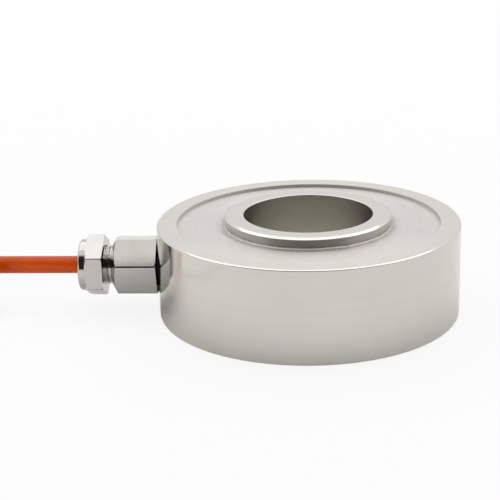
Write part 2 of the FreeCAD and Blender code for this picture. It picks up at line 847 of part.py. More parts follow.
def coil_point(angle, out, up):
    """A point at an angle, a distance and a height about the coil's axis."""
    turn = math.radians(angle)
    x = size("coil_x").number + out * math.cos(turn)
    y = size("coil_y").number + out * math.sin(turn)
    return FreeCAD.Vector(x, y, up)


def lead_points(leaves, lies, span):
    lead_radius = radius("lead_diameter").number
    ledge_middle = (coil_step + coil_outside).number / 2 + size("lead_offset").number
    first = sleeve_start.number + size("sleeve_angle").number + size("lead_gap_angle").number
    points = []
    for along, settled in LEAD_STATIONS + [(span, 1.0)]:
        out_start = sleeve_circle.number + leaves[0]
        up_start = sleeve_middle.number + leaves[1]
        out_end = ledge_middle + lies[0]
        up_end = coil_ledge.number + lead_radius + lies[1]
        out = out_start + (out_end - out_start) * settled
        up = up_start + (up_end - up_start) * settled
        points.append(coil_point(first + along, out, up))
    return points


def make_leads():
    tips = []
    for colour, (leaves, lies, span) in LEAD_ROUTES.items():
        points = lead_points(leaves, lies, span)
        bent_tube(f"lead_{colour}", points, size("lead_diameter").number)
        direction = points[-1] - points[-2]
        tip_radius = radius("tip_diameter").number
        tips.append(Part.makeCylinder(tip_radius, size("tip_length").number, points[-1], direction))
    group = doc.addObject("Part::Feature", "tinned_tips")
    group.Shape = Part.makeCompound(tips)
    keep(group, "tinned_tips")


make_cell_body()
make_cover_ring()
make_gauges("axial_strain_gauges", size("gauge_long_side"), size("gauge_short_angle"), 45)
make_gauges("hoop_strain_gauges", size("gauge_short_side"), size("gauge_long_angle"), 0)
make_gauge_leads()
make_bridge_board()
make_trim_resistors()
make_solder_posts()
make_inner_cores()
make_gland_body()
make_gland_o_ring()
make_seal_insert()
make_thrust_washer()
make_compression_nut()
make_cable_in_gland()
cable_coil = make_cable_coil()
make_cable_run(cable_coil)
for number, tie_direction in enumerate(TIE_DIRECTIONS, start=1):
    make_coil_tie(f"coil_tie_{number}", tie_direction)
make_end_sleeve()
make_leads()
doc.recompute()

# Check everything, then write one file for each sub-part

for thing in doc.Objects:
    if "Invalid" in thing.State or "Error" in thing.State:
        raise ValueError(f"{thing.Label} failed: {thing.State}")
os.makedirs("parts", exist_ok=True)
for thing in nodes:
    if thing.Shape.isNull() or not thing.Shape.isValid():
        raise ValueError(f"{thing.Label} has no valid shape")
for thing in nodes:
    thing.Shape.exportStep(os.path.join("parts", thing.Label + ".step"))
    box = thing.Shape.optimalBoundingBox()
    low = (round(box.XMin, 2), round(box.YMin, 2), round(box.ZMin, 2))
    high = (round(box.XMax, 2), round(box.YMax, 2), round(box.ZMax, 2))
    print(f"{thing.Label}: {len(thing.Shape.Solids)} solids, {thing.Shape.Volume:.1f} mm3, {low} to {high}")
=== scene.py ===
# %% [markdown]
# # A ring load cell in its studio
# The cell is a low stainless ring that a bolt passes through. The bolt's nut presses on the raised load
# ring, strain gauges inside feel the force, and an orange cable carries the signal away through a gland.
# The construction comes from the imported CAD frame, in metres, with the origin in the base face at the middle
# of the through hole. This lesson adds what the frame lacks: finishes, the weld, the thread, the cable's
# turns and the light.

from math import atan, atan2, cos, degrees, pi, radians, sin, sqrt, tan

import bmesh
import bpy
from mathutils import Matrix, Vector, noise


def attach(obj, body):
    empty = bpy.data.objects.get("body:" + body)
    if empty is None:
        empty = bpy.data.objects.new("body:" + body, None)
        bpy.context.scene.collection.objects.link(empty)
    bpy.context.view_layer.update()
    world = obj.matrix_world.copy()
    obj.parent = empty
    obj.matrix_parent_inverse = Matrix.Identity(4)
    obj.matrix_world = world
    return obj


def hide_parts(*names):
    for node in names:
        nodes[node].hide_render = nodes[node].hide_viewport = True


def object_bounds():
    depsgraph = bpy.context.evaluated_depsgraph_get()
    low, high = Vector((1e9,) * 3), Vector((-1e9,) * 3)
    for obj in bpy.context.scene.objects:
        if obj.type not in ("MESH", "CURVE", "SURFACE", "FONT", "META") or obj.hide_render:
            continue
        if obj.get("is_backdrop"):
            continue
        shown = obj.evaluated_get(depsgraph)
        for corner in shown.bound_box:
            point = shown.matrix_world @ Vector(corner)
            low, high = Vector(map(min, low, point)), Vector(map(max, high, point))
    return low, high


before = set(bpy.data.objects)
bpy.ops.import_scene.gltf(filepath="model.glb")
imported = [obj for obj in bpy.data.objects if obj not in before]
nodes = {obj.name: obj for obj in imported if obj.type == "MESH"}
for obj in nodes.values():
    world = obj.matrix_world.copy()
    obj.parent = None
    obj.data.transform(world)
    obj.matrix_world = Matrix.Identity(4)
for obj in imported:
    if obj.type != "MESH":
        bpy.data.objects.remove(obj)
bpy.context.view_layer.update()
scene = bpy.context.scene
MM = 0.001

# %% [markdown]
# ## Camera
# A camera could be placed by eye, but then every comparison with the photograph would mix up shape and
# viewpoint. These values were fitted to the outlines of the rim, base, load ring and hole instead. The lens
# follows from its focal length in pixels, because a 500 pixel wide picture fills the sensor.

# %% Camera
PICTURE_PIXELS = 500
FOCAL_PIXELS = 1308.0
CAMERA_DISTANCE = 349.9 * MM
CAMERA_ELEVATION = radians(19.24)
CAMERA_TILT = radians(18.555)
CAMERA_SWING = radians(1.07)
CAMERA_HEADING = radians(2.697) + CAMERA_SWING
CAMERA_ROLL = radians(-1.431)
AIM_HEIGHT = 12.0 * MM
NEAR_LIMIT = 10 * MM


def link_object(name, data):
    """Put new data into the scene as an object."""
    made = bpy.data.objects.new(name, data)
    scene.collection.objects.link(made)
    return made


camera_data = bpy.data.cameras.new("camera")
camera_data.lens = camera_data.sensor_width * FOCAL_PIXELS / PICTURE_PIXELS
camera_data.clip_start = NEAR_LIMIT
camera = link_object("camera", camera_data)
away = CAMERA_DISTANCE * cos(CAMERA_ELEVATION)
above = CAMERA_DISTANCE * sin(CAMERA_ELEVATION)
stand = Matrix.Rotation(CAMERA_SWING, 3, "Z") @ Vector((0, -away, above)) + Vector((0, 0, AIM_HEIGHT))
facing = Matrix.Rotation(CAMERA_HEADING, 4, "Z") @ Matrix.Rotation(pi / 2 - CAMERA_TILT, 4, "X")
camera.matrix_world = Matrix.Translation(stand) @ facing @ Matrix.Rotation(CAMERA_ROLL, 4, "Z")
scene.camera = camera
scene.view_settings.view_transform = "Standard"
print("camera at", [round(value / MM, 1) for value in stand], "mm, lens", round(camera_data.lens, 1), "mm")

# %% [markdown]
# ## Node helpers
# Materials here are built from nodes in code. A few small helpers keep each finish readable: they add a node
# and fill its sockets, do a step of arithmetic, read a place on the object, or turn a value into a range.


# %% Node helpers
def add_node(tree, kind, inputs=None, **settings):
    """Add a shader node; each input is a value, or another node's output to link."""
    made = tree.nodes.new("ShaderNode" + kind)
    for name, value in settings.items():
        setattr(made, name, value)
    for name, value in (inputs or {}).items():
        if isinstance(value, bpy.types.NodeSocket):
            tree.links.new(value, made.inputs[name])
        else:
            made.inputs[name].default_value = value
    return made


def arithmetic(tree, operation, *values):
    step = add_node(tree, "Math", dict(enumerate(values)), operation=operation)
    return step.outputs[0]


def own_space(tree):
    return add_node(tree, "TexCoord").outputs["Object"]


def axes(tree, vector):
    return add_node(tree, "SeparateXYZ", {0: vector}).outputs


def into_range(tree, value, low, high, start=0.0, end=1.0):
    """Map start..end of a value to low..high, and hold the ends."""
    inputs = {"Value": value, "From Min": start, "From Max": end, "To Min": low, "To Max": high}
    return add_node(tree, "MapRange", inputs).outputs[0]


print("node helpers ready")

# %% [markdown]
# ## White studio
# The cell stands on a white table in a white tent. If lamps alone had to make the table white, they would
# bleach the object too. So table and world glow white only where they are seen directly, and the world
# also in reflections, most of all halfway up. A dimmer world lights the object, and the table still takes
# its shadow.

# %% World and table
WHITE = (1, 1, 1, 1)
AMBIENT = 0.75
FOOT_WHITE = 0.3
WALL_BRIGHTENS, ROOF_DIMS = (0.2, 0.5), (0.7, 0.9)
TABLE_COLOUR = (0.9, 0.9, 0.895, 1)
TABLE_GLOW = 0.85
TABLE_SIZE = 6.0
TABLE_GAP = 0.02 * MM


def backdrop_share(tree, camera_share, glossy_share):
    """How much of a backdrop's own white a ray sees, by the kind of ray."""
    path = add_node(tree, "LightPath")
    seen = arithmetic(tree, "ADD", path.outputs["Is Camera Ray"], path.outputs["Is Transmission Ray"])
    seen = arithmetic(tree, "MULTIPLY", seen, camera_share)
    mirrored = arithmetic(tree, "MULTIPLY", path.outputs["Is Glossy Ray"], glossy_share)
    return arithmetic(tree, "ADD", seen, mirrored)


def show(tree, surface, output="Material Output"):
    """Make a shader what the material, or the world, shows."""
    tree.links.new(surface.outputs[0], tree.nodes[output].inputs["Surface"])


def mixed(tree, lit, own_white, share):
    return add_node(tree, "MixShader", {0: share, 1: lit.outputs[0], 2: own_white.outputs[0]})


def new_material(name):
    material = bpy.data.materials.new(name)
    material.use_nodes = True
    return material


def mesh_object(name, mesh_data):
    """Put finished mesh data into the scene."""
    mesh = bpy.data.meshes.new(name)
    mesh_data.to_mesh(mesh)
    mesh_data.free()
    return link_object(name, mesh)


world = bpy.data.worlds.new("white_tent")
scene.world = world
world.use_nodes = True
tree = world.node_tree
dim = tree.nodes["Background"]
dim.inputs["Strength"].default_value = AMBIENT
dim.inputs["Color"].default_value = WHITE
white = add_node(tree, "Background", {"Color": WHITE, "Strength": 1.0})
direction = add_node(tree, "TexCoord").outputs["Generated"]
height = axes(tree, direction)["Z"]
wall_white = into_range(tree, height, FOOT_WHITE, 1.0, *WALL_BRIGHTENS)
roof_dim = into_range(tree, height, 1.0, 0.0, *ROOF_DIMS)
in_metal = arithmetic(tree, "MULTIPLY", wall_white, roof_dim)
show(tree, mixed(tree, dim, white, backdrop_share(tree, 1.0, in_metal)), "World Output")

sheet = bmesh.new()
bmesh.ops.create_grid(sheet, x_segments=1, y_segments=1, size=TABLE_SIZE / 2)
table = mesh_object("table", sheet)
table.location.z = -TABLE_GAP
table_finish = new_material("white_table")
tree = table_finish.node_tree
paper = add_node(tree, "BsdfDiffuse", {"Color": TABLE_COLOUR})
glow = add_node(tree, "Emission", {"Color": WHITE, "Strength": 1.0})
show(tree, mixed(tree, paper, glow, backdrop_share(tree, TABLE_GLOW, 0.0)))
table.data.materials.append(table_finish)
table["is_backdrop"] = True
print("white tent and table ready")

# %% [markdown]
# ## Soft light and the dark side
# One large softbox hangs over the cell, a little behind it. Bare metal shows the room that it stands in:
# the dark line along each hex edge and the dark wall of the load ring come from the unlit room on the
# camera's side. A dark curved card there, seen only in reflections, is what photographers call a flag. It
# fades out towards its top and its sides, and its foot lies on the table.

# %% Softbox
SOFTBOX_WIDTH, SOFTBOX_DEPTH = 1.6, 1.1
SOFTBOX_PLACE = (0, 0.5, 0.9)
SOFTBOX_BRIGHTNESS = 0.8

softbox_light = bpy.data.lights.new("softbox", "AREA")
softbox_light.shape = "RECTANGLE"
softbox_light.size = SOFTBOX_WIDTH
softbox_light.size_y = SOFTBOX_DEPTH
softbox_light.energy = SOFTBOX_BRIGHTNESS * pi * SOFTBOX_WIDTH * SOFTBOX_DEPTH
softbox = link_object("softbox", softbox_light)
softbox.location = SOFTBOX_PLACE
print("softbox of", round(softbox_light.energy, 1), "W")

# %% Flag
FLAG_DISTANCE = 1.5
FLAG_FOOT = (0.18, 0.4)
FLAG_LIFTS = range(1, 77, 3)
FLAG_HALF_ANGLE = 100
FLAG_STEPS = 38
FLAG_SIDE_FADE, FLAG_SIDE_SHADES = (radians(48), radians(68)), (0.02, 0.65)
FLAG_TOP_FADE, FLAG_TOP_SHADES = (0.89, 1.0), (0.015, 1.1)
FLAG_LEAN = 0.25
FLAG_COLOUR = (1, 0.98, 0.95, 1)
TABLE_CLEARANCE = 0.4 * MM


def evenly(start, end, count):
    """Values from start to end in a number of equal steps."""
    return [start + (end - start) * i / count for i in range(count + 1)]


def studio_card(name, rows, lights_table=False):
    """A card that the camera does not see, from rows of points."""
    card = bmesh.new()
    made = [[card.verts.new(point) for point in row] for row in rows]
    for lower, upper in zip(made, made[1:]):
        for i in range(len(lower) - 1):
            card.faces.new((lower[i], lower[i + 1], upper[i + 1], upper[i]))
    piece = mesh_object(name, card)
    piece.visible_camera = False
    piece.visible_diffuse = lights_table
    piece.visible_shadow = False
    material = new_material(name)
    piece.data.materials.append(material)
    piece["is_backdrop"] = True
    return material.node_tree


def flag_row(out, up):
    turns = [radians(angle) for angle in evenly(-FLAG_HALF_ANGLE, FLAG_HALF_ANGLE, FLAG_STEPS)]
    return [Vector((out * sin(turn), -out * cos(turn), up)) for turn in turns]


flag_rows = [flag_row(out, TABLE_CLEARANCE) for out in FLAG_FOOT]
for lift in FLAG_LIFTS:
    angle = radians(lift)
    flag_rows.append(flag_row(FLAG_DISTANCE * cos(angle), FLAG_DISTANCE * sin(angle)))
tree = studio_card("flag", flag_rows)
direction = add_node(tree, "VectorMath", {0: own_space(tree)}, operation="NORMALIZE").outputs[0]
x, y, z = axes(tree, direction)
sideways = arithmetic(tree, "ABSOLUTE", x)
ahead = arithmetic(tree, "MULTIPLY", y, -1.0)
aside = arithmetic(tree, "ARCTAN2", sideways, ahead)
side_fade = into_range(tree, aside, *FLAG_SIDE_SHADES, *FLAG_SIDE_FADE)
leaning = arithmetic(tree, "MULTIPLY_ADD", aside, FLAG_LEAN, z)
top_fade = into_range(tree, leaning, *FLAG_TOP_SHADES, *FLAG_TOP_FADE)
shade = arithmetic(tree, "MAXIMUM", side_fade, top_fade)
show(tree, add_node(tree, "Emission", {"Color": FLAG_COLOUR, "Strength": shade}))
print("flag of", len(flag_rows), "rows")

# %% [markdown]
# The spare cable lies coiled just left of the picture. In the photograph nothing orange shows in the
# polished wall. So a small white card, which the camera does not see, stands between the coil and the cell,
# and also keeps the coil's orange light off the table there. The card glows white, so it also lights the
# table and the cable beside it.

# %% White card
CARD_X = -82 * MM
CARD_ENDS = (-76 * MM, -8 * MM)
CARD_HEIGHT = 24 * MM
CARD_COLOUR = (1, 1, 0.98, 1)
CARD_BRIGHTNESS = 0.9

card_rows = [[Vector((CARD_X, y, z)) for y in CARD_ENDS] for z in (TABLE_CLEARANCE, CARD_HEIGHT)]
tree = studio_card("white_card", card_rows, lights_table=True)
show(tree, add_node(tree, "Emission", {"Color": CARD_COLOUR, "Strength": CARD_BRIGHTNESS}))
print("white card", round(CARD_HEIGHT / MM), "mm high")

# %% [markdown]
# ## Piece helpers
# Most new pieces here are lofts: rings of points joined into a skin. The helper closes the skin in both
# directions where the piece is a ring or a tube with walls, and otherwise caps the two ends. Edges sharper
# than a set angle stay crisp, and the rest is shaded smooth.

# %% Piece helpers
SHARP_ANGLE = radians(32)


def place_piece(piece, slot, material, *stands_for):
    """Finish a new piece: its material, its body and the CAD nodes that it stands for; the slot is not used.
    """
    piece.data.materials.append(material)
    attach(piece, "root")
    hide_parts(*stands_for)


def add_skin(mesh_data, rings, closed):
    """Join rings of points; closed joins the last ring to the first, otherwise both ends are capped."""
    made = [[mesh_data.verts.new(point) for point in ring] for ring in rings]
    following = made[1:] + made[:1] if closed else made[1:]
    for ring, after in zip(made, following):
        count = len(ring)
        for i in range(count):
            j = (i + 1) % count
            mesh_data.faces.new((ring[i], ring[j], after[j], after[i]))
    if not closed:
        mesh_data.faces.new(made[0])
        mesh_data.faces.new(made[-1])


def loft(name, *skins):
    """A piece of one or more skins, each given as its rings and whether it is closed."""
    mesh_data = bmesh.new()
    for rings, closed in skins:
        add_skin(mesh_data, rings, closed)
    bmesh.ops.recalc_face_normals(mesh_data, faces=mesh_data.faces)
    piece = mesh_object(name, mesh_data)
    piece.data.shade_smooth()
    piece.data.set_sharp_from_angle(angle=SHARP_ANGLE)
    return piece


def keep_flats_flat(piece):
    """Let the large faces set the shading, so a flat face stays flat beside its rounded edge."""
    weighted = piece.modifiers.new("flats_stay_flat", "WEIGHTED_NORMAL")
    weighted.keep_sharp = True
    weighted.weight = 100


def nurbs_tube(name, points, diameter, steps):
    """A round cord along a smooth NURBS line with these control points; their radius sets its thickness."""
    curve = bpy.data.curves.new(name, "CURVE")
    curve.dimensions = "3D"
    curve.bevel_depth = 1.0
    curve.bevel_resolution = 5
    curve.use_fill_caps = True
    curve.resolution_u = steps
    spline = curve.splines.new("NURBS")
    spline.points.add(len(points) - 1)
    for control, place in zip(spline.points, points):
        control.co = (*place, 1)
        control.radius = diameter / 2
    spline.order_u = 3
    spline.use_endpoint_u = True
    return link_object(name, curve)


print("piece helpers ready")

# %% [markdown]
# ## Orange jacket
# The cable's jacket is extruded polyurethane: satin, a little uneven in colour and very slightly rippled.
# A painted stripe would be wrong, so the variation comes from soft noise, and the sheen from its roughness.
# The helpers here serve every later finish too.


# %% Finish helpers
def new_finish(name, colour, roughness, metallic=0.0):
    material = new_material(name)
    shader = material.node_tree.nodes["Principled BSDF"]
    shader.inputs["Base Color"].default_value = (*colour, 1)
    shader.inputs["Roughness"].default_value = roughness
    shader.inputs["Metallic"].default_value = metallic
    return material, material.node_tree, shader


def object_noise(tree, size, detail=2.0):
    """Soft noise in the object's own space with features of about this size."""
    inputs = {"Vector": own_space(tree), "Scale": 1 / size, "Detail": detail}
    return add_node(tree, "TexNoise", inputs).outputs["Fac"]


def two_tones(tree, value, *stops):
    """A colour along a value, between two stops of a position and a colour."""
    ramp = add_node(tree, "ValToRGB", {"Fac": value})
    for element, (position, colour) in zip(ramp.color_ramp.elements, stops):
        element.position = position
        element.color = (*colour, 1)
    return ramp.outputs["Color"]


def feed(shader, socket, value):
    """Link a value to a socket of the finish; the shader knows the node tree that it is in."""
    shader.id_data.links.new(value, shader.inputs[socket])


def tint(shader, value, *stops):
    feed(shader, "Base Color", two_tones(shader.id_data, value, *stops))


def roughen(shader, value, low, high):
    feed(shader, "Roughness", into_range(shader.id_data, value, low, high))


def bump(shader, height, depth, strength=1.0):
    inputs = {"Height": height, "Distance": depth, "Strength": strength}
    feed(shader, "Normal", add_node(shader.id_data, "Bump", inputs).outputs["Normal"])


print("finish helpers ready")


# %% Orange jacket
def jacket_finish():
    material, tree, shader = new_finish("orange_jacket", (0.61, 0.072, 0.0), 0.16)
    shader.inputs["Specular IOR Level"].default_value = 0.26
    tint(shader, object_noise(tree, 6 * MM), (0.3, (0.58, 0.068, 0.0)), (0.7, (0.64, 0.076, 0.0)))
    roughen(shader, object_noise(tree, 1.5 * MM), 0.12, 0.2)
    bump(shader, object_noise(tree, 0.8 * MM), 0.02 * MM, 0.5)
    return material


orange_jacket = jacket_finish()
nodes["cable_in_gland"].data.materials[0] = orange_jacket
print("made", orange_jacket.name)

# %% [markdown]
# ## Cable
# Only a short straight stretch of the cable shows in the picture. The rest of its three metres is wound
# into a tied coil beside the cell, just past the picture's edge. Winding is a list of places in the coil's
# section: the cable makes nearly a full turn in one place, then slips to the next. A later turn slips
# earlier round the coil than the one before it, so it is out of the way when its neighbour moves.

# %% Cable route
CABLE_DIAMETER = 4.75 * MM
CABLE_STEPS = 4
GLAND_HEIGHT = 12.25 * MM
NUT_END = 61.2 * MM
STRAIGHT_STATIONS = [NUT_END, 80.0 * MM, 98.0 * MM, 108.0 * MM, 115.5 * MM]
COIL_CENTRE = Vector((-120.0, -33.625, 0)) * MM
COIL_INSIDE = 17.0 * MM
COIL_BASE = 1.1 * MM
COIL_PLACES = [
    (4, 3), (4, 2), (4, 1), (3, 1), (3, 2), (3, 3), (3, 4), (2, 4), (2, 3), (2, 2),
    (2, 1), (1, 1), (1, 2), (1, 3), (1, 4), (1, 5), (2, 5), (3, 5), (4, 4),
]
COIL_ENTRY = 90.0
LAST_TURN_START, LAST_TURN_END = 150.0, 385.0
SLIPS = len(COIL_PLACES) - 1
WHOLE_TURNS = SLIPS - 2
FIRST_SLIP, LAST_SLIP = 0.86, WHOLE_TURNS + (LAST_TURN_START - COIL_ENTRY) / 360
SLIP_PITCH = (LAST_SLIP - FIRST_SLIP) / (SLIPS - 1)
SLIP_WIDTH = 0.2
POINTS_PER_TURN = 24
OVERSHOOT = 1 / cos(pi / POINTS_PER_TURN)


def coil_point(angle, out, up):
    """A point at an angle in degrees, a distance and a height about the coil's axis."""
    turn = radians(angle)
    return COIL_CENTRE + Vector((out * cos(turn), out * sin(turn), up))


def place_in_section(column, layer):
    return COIL_INSIDE + CABLE_DIAMETER * (column - 0.5), COIL_BASE + CABLE_DIAMETER * (layer - 0.5)


def ease(share):
    share = min(max(share, 0.0), 1.0)
    return share * share * (3 - 2 * share)


def coil_section(turns):
    """Distance and height of the cable after a number of turns."""
    out, up = place_in_section(*COIL_PLACES[0])
    for k, (before, after) in enumerate(zip(COIL_PLACES, COIL_PLACES[1:])):
        moved = ease((turns - FIRST_SLIP - k * SLIP_PITCH) / SLIP_WIDTH + 0.5)
        out += moved * (after[0] - before[0]) * CABLE_DIAMETER
        up += moved * (after[1] - before[1]) * CABLE_DIAMETER
    return out, up


cable_points = [Vector((-station, 0, GLAND_HEIGHT)) for station in STRAIGHT_STATIONS]
turns_in_all = WHOLE_TURNS + (LAST_TURN_END - COIL_ENTRY) / 360
for step in range(int(turns_in_all * POINTS_PER_TURN)):
    turns = (step + 0.5) / POINTS_PER_TURN
    out, up = coil_section(turns)
    cable_points.append(coil_point(COIL_ENTRY + 360 * turns, out * OVERSHOOT, up))
cable_points.append(coil_point(COIL_ENTRY + 360 * turns_in_all, *coil_section(turns_in_all)))

cable = nurbs_tube("signal_cable", cable_points, CABLE_DIAMETER, CABLE_STEPS)
place_piece(cable, "cable_jacket", orange_jacket, "cable_run", "cable_coil")
print("cable of", len(cable_points), "control points in", round(turns_in_all, 2), "turns")

# %% [markdown]
# ## Leads
# At the far end the jacket is stripped: four insulated cores and the shield lie on the coil's outer ledge
# and end in tinned tips. Each is a cord of its own, on the same route points as in the CAD model.

# %% Lead finishes
INSULATION = {
    "red": (0.5, 0.02, 0.02),
    "black": (0.02, 0.02, 0.022),
    "green": (0.02, 0.25, 0.06),
    "white": (0.75, 0.75, 0.72),
}


def insulation_finish(colour):
    """Thin drawn insulation: even colour with a faint blotch and a soft sheen."""
    base = INSULATION[colour]
    pale = tuple(min(1.0, channel * 1.15 + 0.01) for channel in base)
    material, tree, shader = new_finish(f"insulation_{colour}", base, 0.4)
    tint(shader, object_noise(tree, 3 * MM), (0.35, base), (0.65, pale))
    roughen(shader, object_noise(tree, 0.6 * MM), 0.32, 0.5)
    bump(shader, object_noise(tree, 0.4 * MM), 0.01 * MM, 0.4)
    return material


def braid_finish():
    """Tinned braid: two sets of fine bright wires that cross."""
    material, tree, shader = new_finish("shield_braid", (0.6, 0.59, 0.56), 0.35, 1.0)
    crossing = []
    for side in (1, -1):
        inputs = {"Vector": own_space(tree), "Rotation": (0.6, 0.4, side * 0.8)}
        turned_place = add_node(tree, "Mapping", inputs).outputs[0]
        inputs = {"Vector": turned_place, "Scale": 900.0, "Distortion": 0.6}
        crossing.append(add_node(tree, "TexWave", inputs).outputs["Fac"])
    weave = arithmetic(tree, "MAXIMUM", *crossing)
    tint(shader, weave, (0.2, (0.25, 0.24, 0.22)), (0.8, (0.66, 0.65, 0.62)))
    bump(shader, weave, 0.08 * MM)
    return material


conductor_finish = {colour: insulation_finish(colour) for colour in INSULATION}
conductor_finish["shield"] = braid_finish()
print("made", ", ".join(material.name for material in conductor_finish.values()))

# %% Leads
SLEEVE_RADIUS = 2.7 * MM
LEAD_START = 409.2
LEAD_DIAMETER = 1.3 * MM
LEAD_STEPS = 12
LEDGE_HEIGHT = COIL_BASE + 3 * CABLE_DIAMETER
STEP_RADIUS = COIL_INSIDE + 3 * CABLE_DIAMETER
SLEEVE_CIRCLE = STEP_RADIUS + SLEEVE_RADIUS
SLEEVE_HEIGHT = LEDGE_HEIGHT + SLEEVE_RADIUS
LEDGE_MIDDLE = STEP_RADIUS + CABLE_DIAMETER / 2 + 0.3 * MM
LEAD_ROUTES = {
    "red": ((-1.2, -0.4), (-1.48, 0.0), 68),
    "black": ((0.75, 1.0), (0.75, 1.25), 66),
    "green": ((0.0, -1.25), (0.0, 0.0), 71),
    "white": ((1.2, -0.4), (1.48, 0.0), 69),
    "shield": ((-0.75, 1.0), (-0.75, 1.25), 64),
}
LEAD_STATIONS = [(0, 0.0), (9, 0.06), (20, 0.5), (32, 0.92), (45, 1.0), (58, 1.0)]


def between(start, end, share):
    return start + (end - start) * share


def lead_points(leaves, lies, span):
    """Route of a lead, from its place in the sleeve's end down to its place on the ledge."""
    start_out, start_up = SLEEVE_CIRCLE + leaves[0] * MM, SLEEVE_HEIGHT + leaves[1] * MM
    end_out, end_up = LEDGE_MIDDLE + lies[0] * MM, LEDGE_HEIGHT + LEAD_DIAMETER / 2 + lies[1] * MM
    points = []
    for along, settled in LEAD_STATIONS + [(span, 1.0)]:
        out, up = between(start_out, end_out, settled), between(start_up, end_up, settled)
        points.append(coil_point(LEAD_START + along, out, up))
    return points


def line_length(piece):
    """Length of a cord's own line, read from the curve without its thickness."""
    thickness = piece.data.bevel_depth
    piece.data.bevel_depth = 0
    line = bpy.data.meshes.new_from_object(piece)
    piece.data.bevel_depth = thickness
    points = [vertex.co.copy() for vertex in line.vertices]
    bpy.data.meshes.remove(line)
    return sum((b - a).length for a, b in zip(points, points[1:]))


for colour, (leaves, lies, span) in LEAD_ROUTES.items():
    points = lead_points(leaves, lies, span)
    lead = nurbs_tube(f"free_lead_{colour}", points, LEAD_DIAMETER, LEAD_STEPS)
    slot = "shield_braid" if colour == "shield" else f"insulation_{colour}"
    place_piece(lead, slot, conductor_finish[colour], f"lead_{colour}")
    nodes[f"inner_core_{colour}"].data.materials[0] = conductor_finish[colour]
    length = line_length(lead)
    print("lead", colour, round(length / MM, 1), "mm")

# %% [markdown]
# ## Stainless body
# The body is turned from one bar, so every surface carries fine rings left by the tool. On the wall they
# run round at each height, on the rim at each radius. One coordinate serves both: radius plus height. The
# wall is polished almost to a mirror, which is why the gland shows in it. The load face is ground smooth,
# the rim has a circular grain that stretches what it reflects, and the bored hole and the recess are the
# dullest. A painted shade darkens the load ring's outer wall a little towards brown.

# %% Stainless body
BORE_RADIUS, HUB_RADIUS, RECESS_RADIUS = 17.0, 22.0, 34.75
RIM_ZONE = 30.0
PAINTED_SHADE_SKIN = 0.07
BORE_SKIN, RECESS_SKIN = (17.05 * MM, 17.3 * MM), (34.8 * MM, 34.9 * MM)
LEVEL_NORMAL = (0.88, 0.95)
WALL_ROUGHNESS = 0.1
ROUGHER_BY = {"tool_rings": 0.06, "level": 0.06, "rim": 0.1, "bore": 0.12, "recess": 0.45}


def turning_coordinate(tree, axis, centre=(0.0, 0.0, 0.0)):
    """Radius plus height about an axis, which changes across every turned surface, and the radius alone."""
    inputs = {0: own_space(tree), 1: centre}
    shifted = add_node(tree, "VectorMath", inputs, operation="SUBTRACT").outputs[0]
    across = (0.0, 1.0, 1.0) if axis == "X" else (1.0, 1.0, 0.0)
    flat = add_node(tree, "VectorMath", {0: shifted, 1: across}, operation="MULTIPLY").outputs[0]
    radius = add_node(tree, "VectorMath", {0: flat}, operation="LENGTH").outputs["Value"]
    return arithmetic(tree, "ADD", radius, axes(tree, shifted)[axis]), radius


def tool_rings(tree, coordinate, pitch, detail=2.0):
    """Noise along one coordinate only, so it draws rings."""
    inputs = {"W": coordinate, "Scale": 1 / pitch, "Detail": detail}
    return add_node(tree, "TexNoise", inputs, noise_dimensions="1D").outputs["Fac"]


def blended(tree, first, second, share):
    """Two values in one, the first taken by a share and the second by the rest."""
    return arithmetic(tree, "MULTIPLY_ADD", first, share, arithmetic(tree, "MULTIPLY", second, 1 - share))


def facing_up(tree):
    """0 on walls and 1 on level faces."""
    normal = add_node(tree, "NewGeometry").outputs["Normal"]
    return into_range(tree, axes(tree, normal)["Z"], 0.0, 1.0, *LEVEL_NORMAL)


def circular_grain(tree, shader):
    """Turn the finish's grain round the load axis, so reflections stretch across the tool rings."""
    shader.inputs["Anisotropic Rotation"].default_value = 0.25
    round_axis = add_node(tree, "Tangent", direction_type="RADIAL", axis="Z")
    feed(shader, "Tangent", round_axis.outputs[0])


def brown_by_heat_and_shade(tree, shader, metal, brown_share, brown):
    """Give the finish the metal's colour, shaded to brown by a mask: heat tint beside the weld and painted
    shade.
    """
    inputs = {0: brown_share, 6: metal, 7: (*brown, 1)}  # of a colour mix, 6 and 7 are the two colours
    feed(shader, "Base Color", add_node(tree, "Mix", inputs, data_type="RGBA").outputs[2])


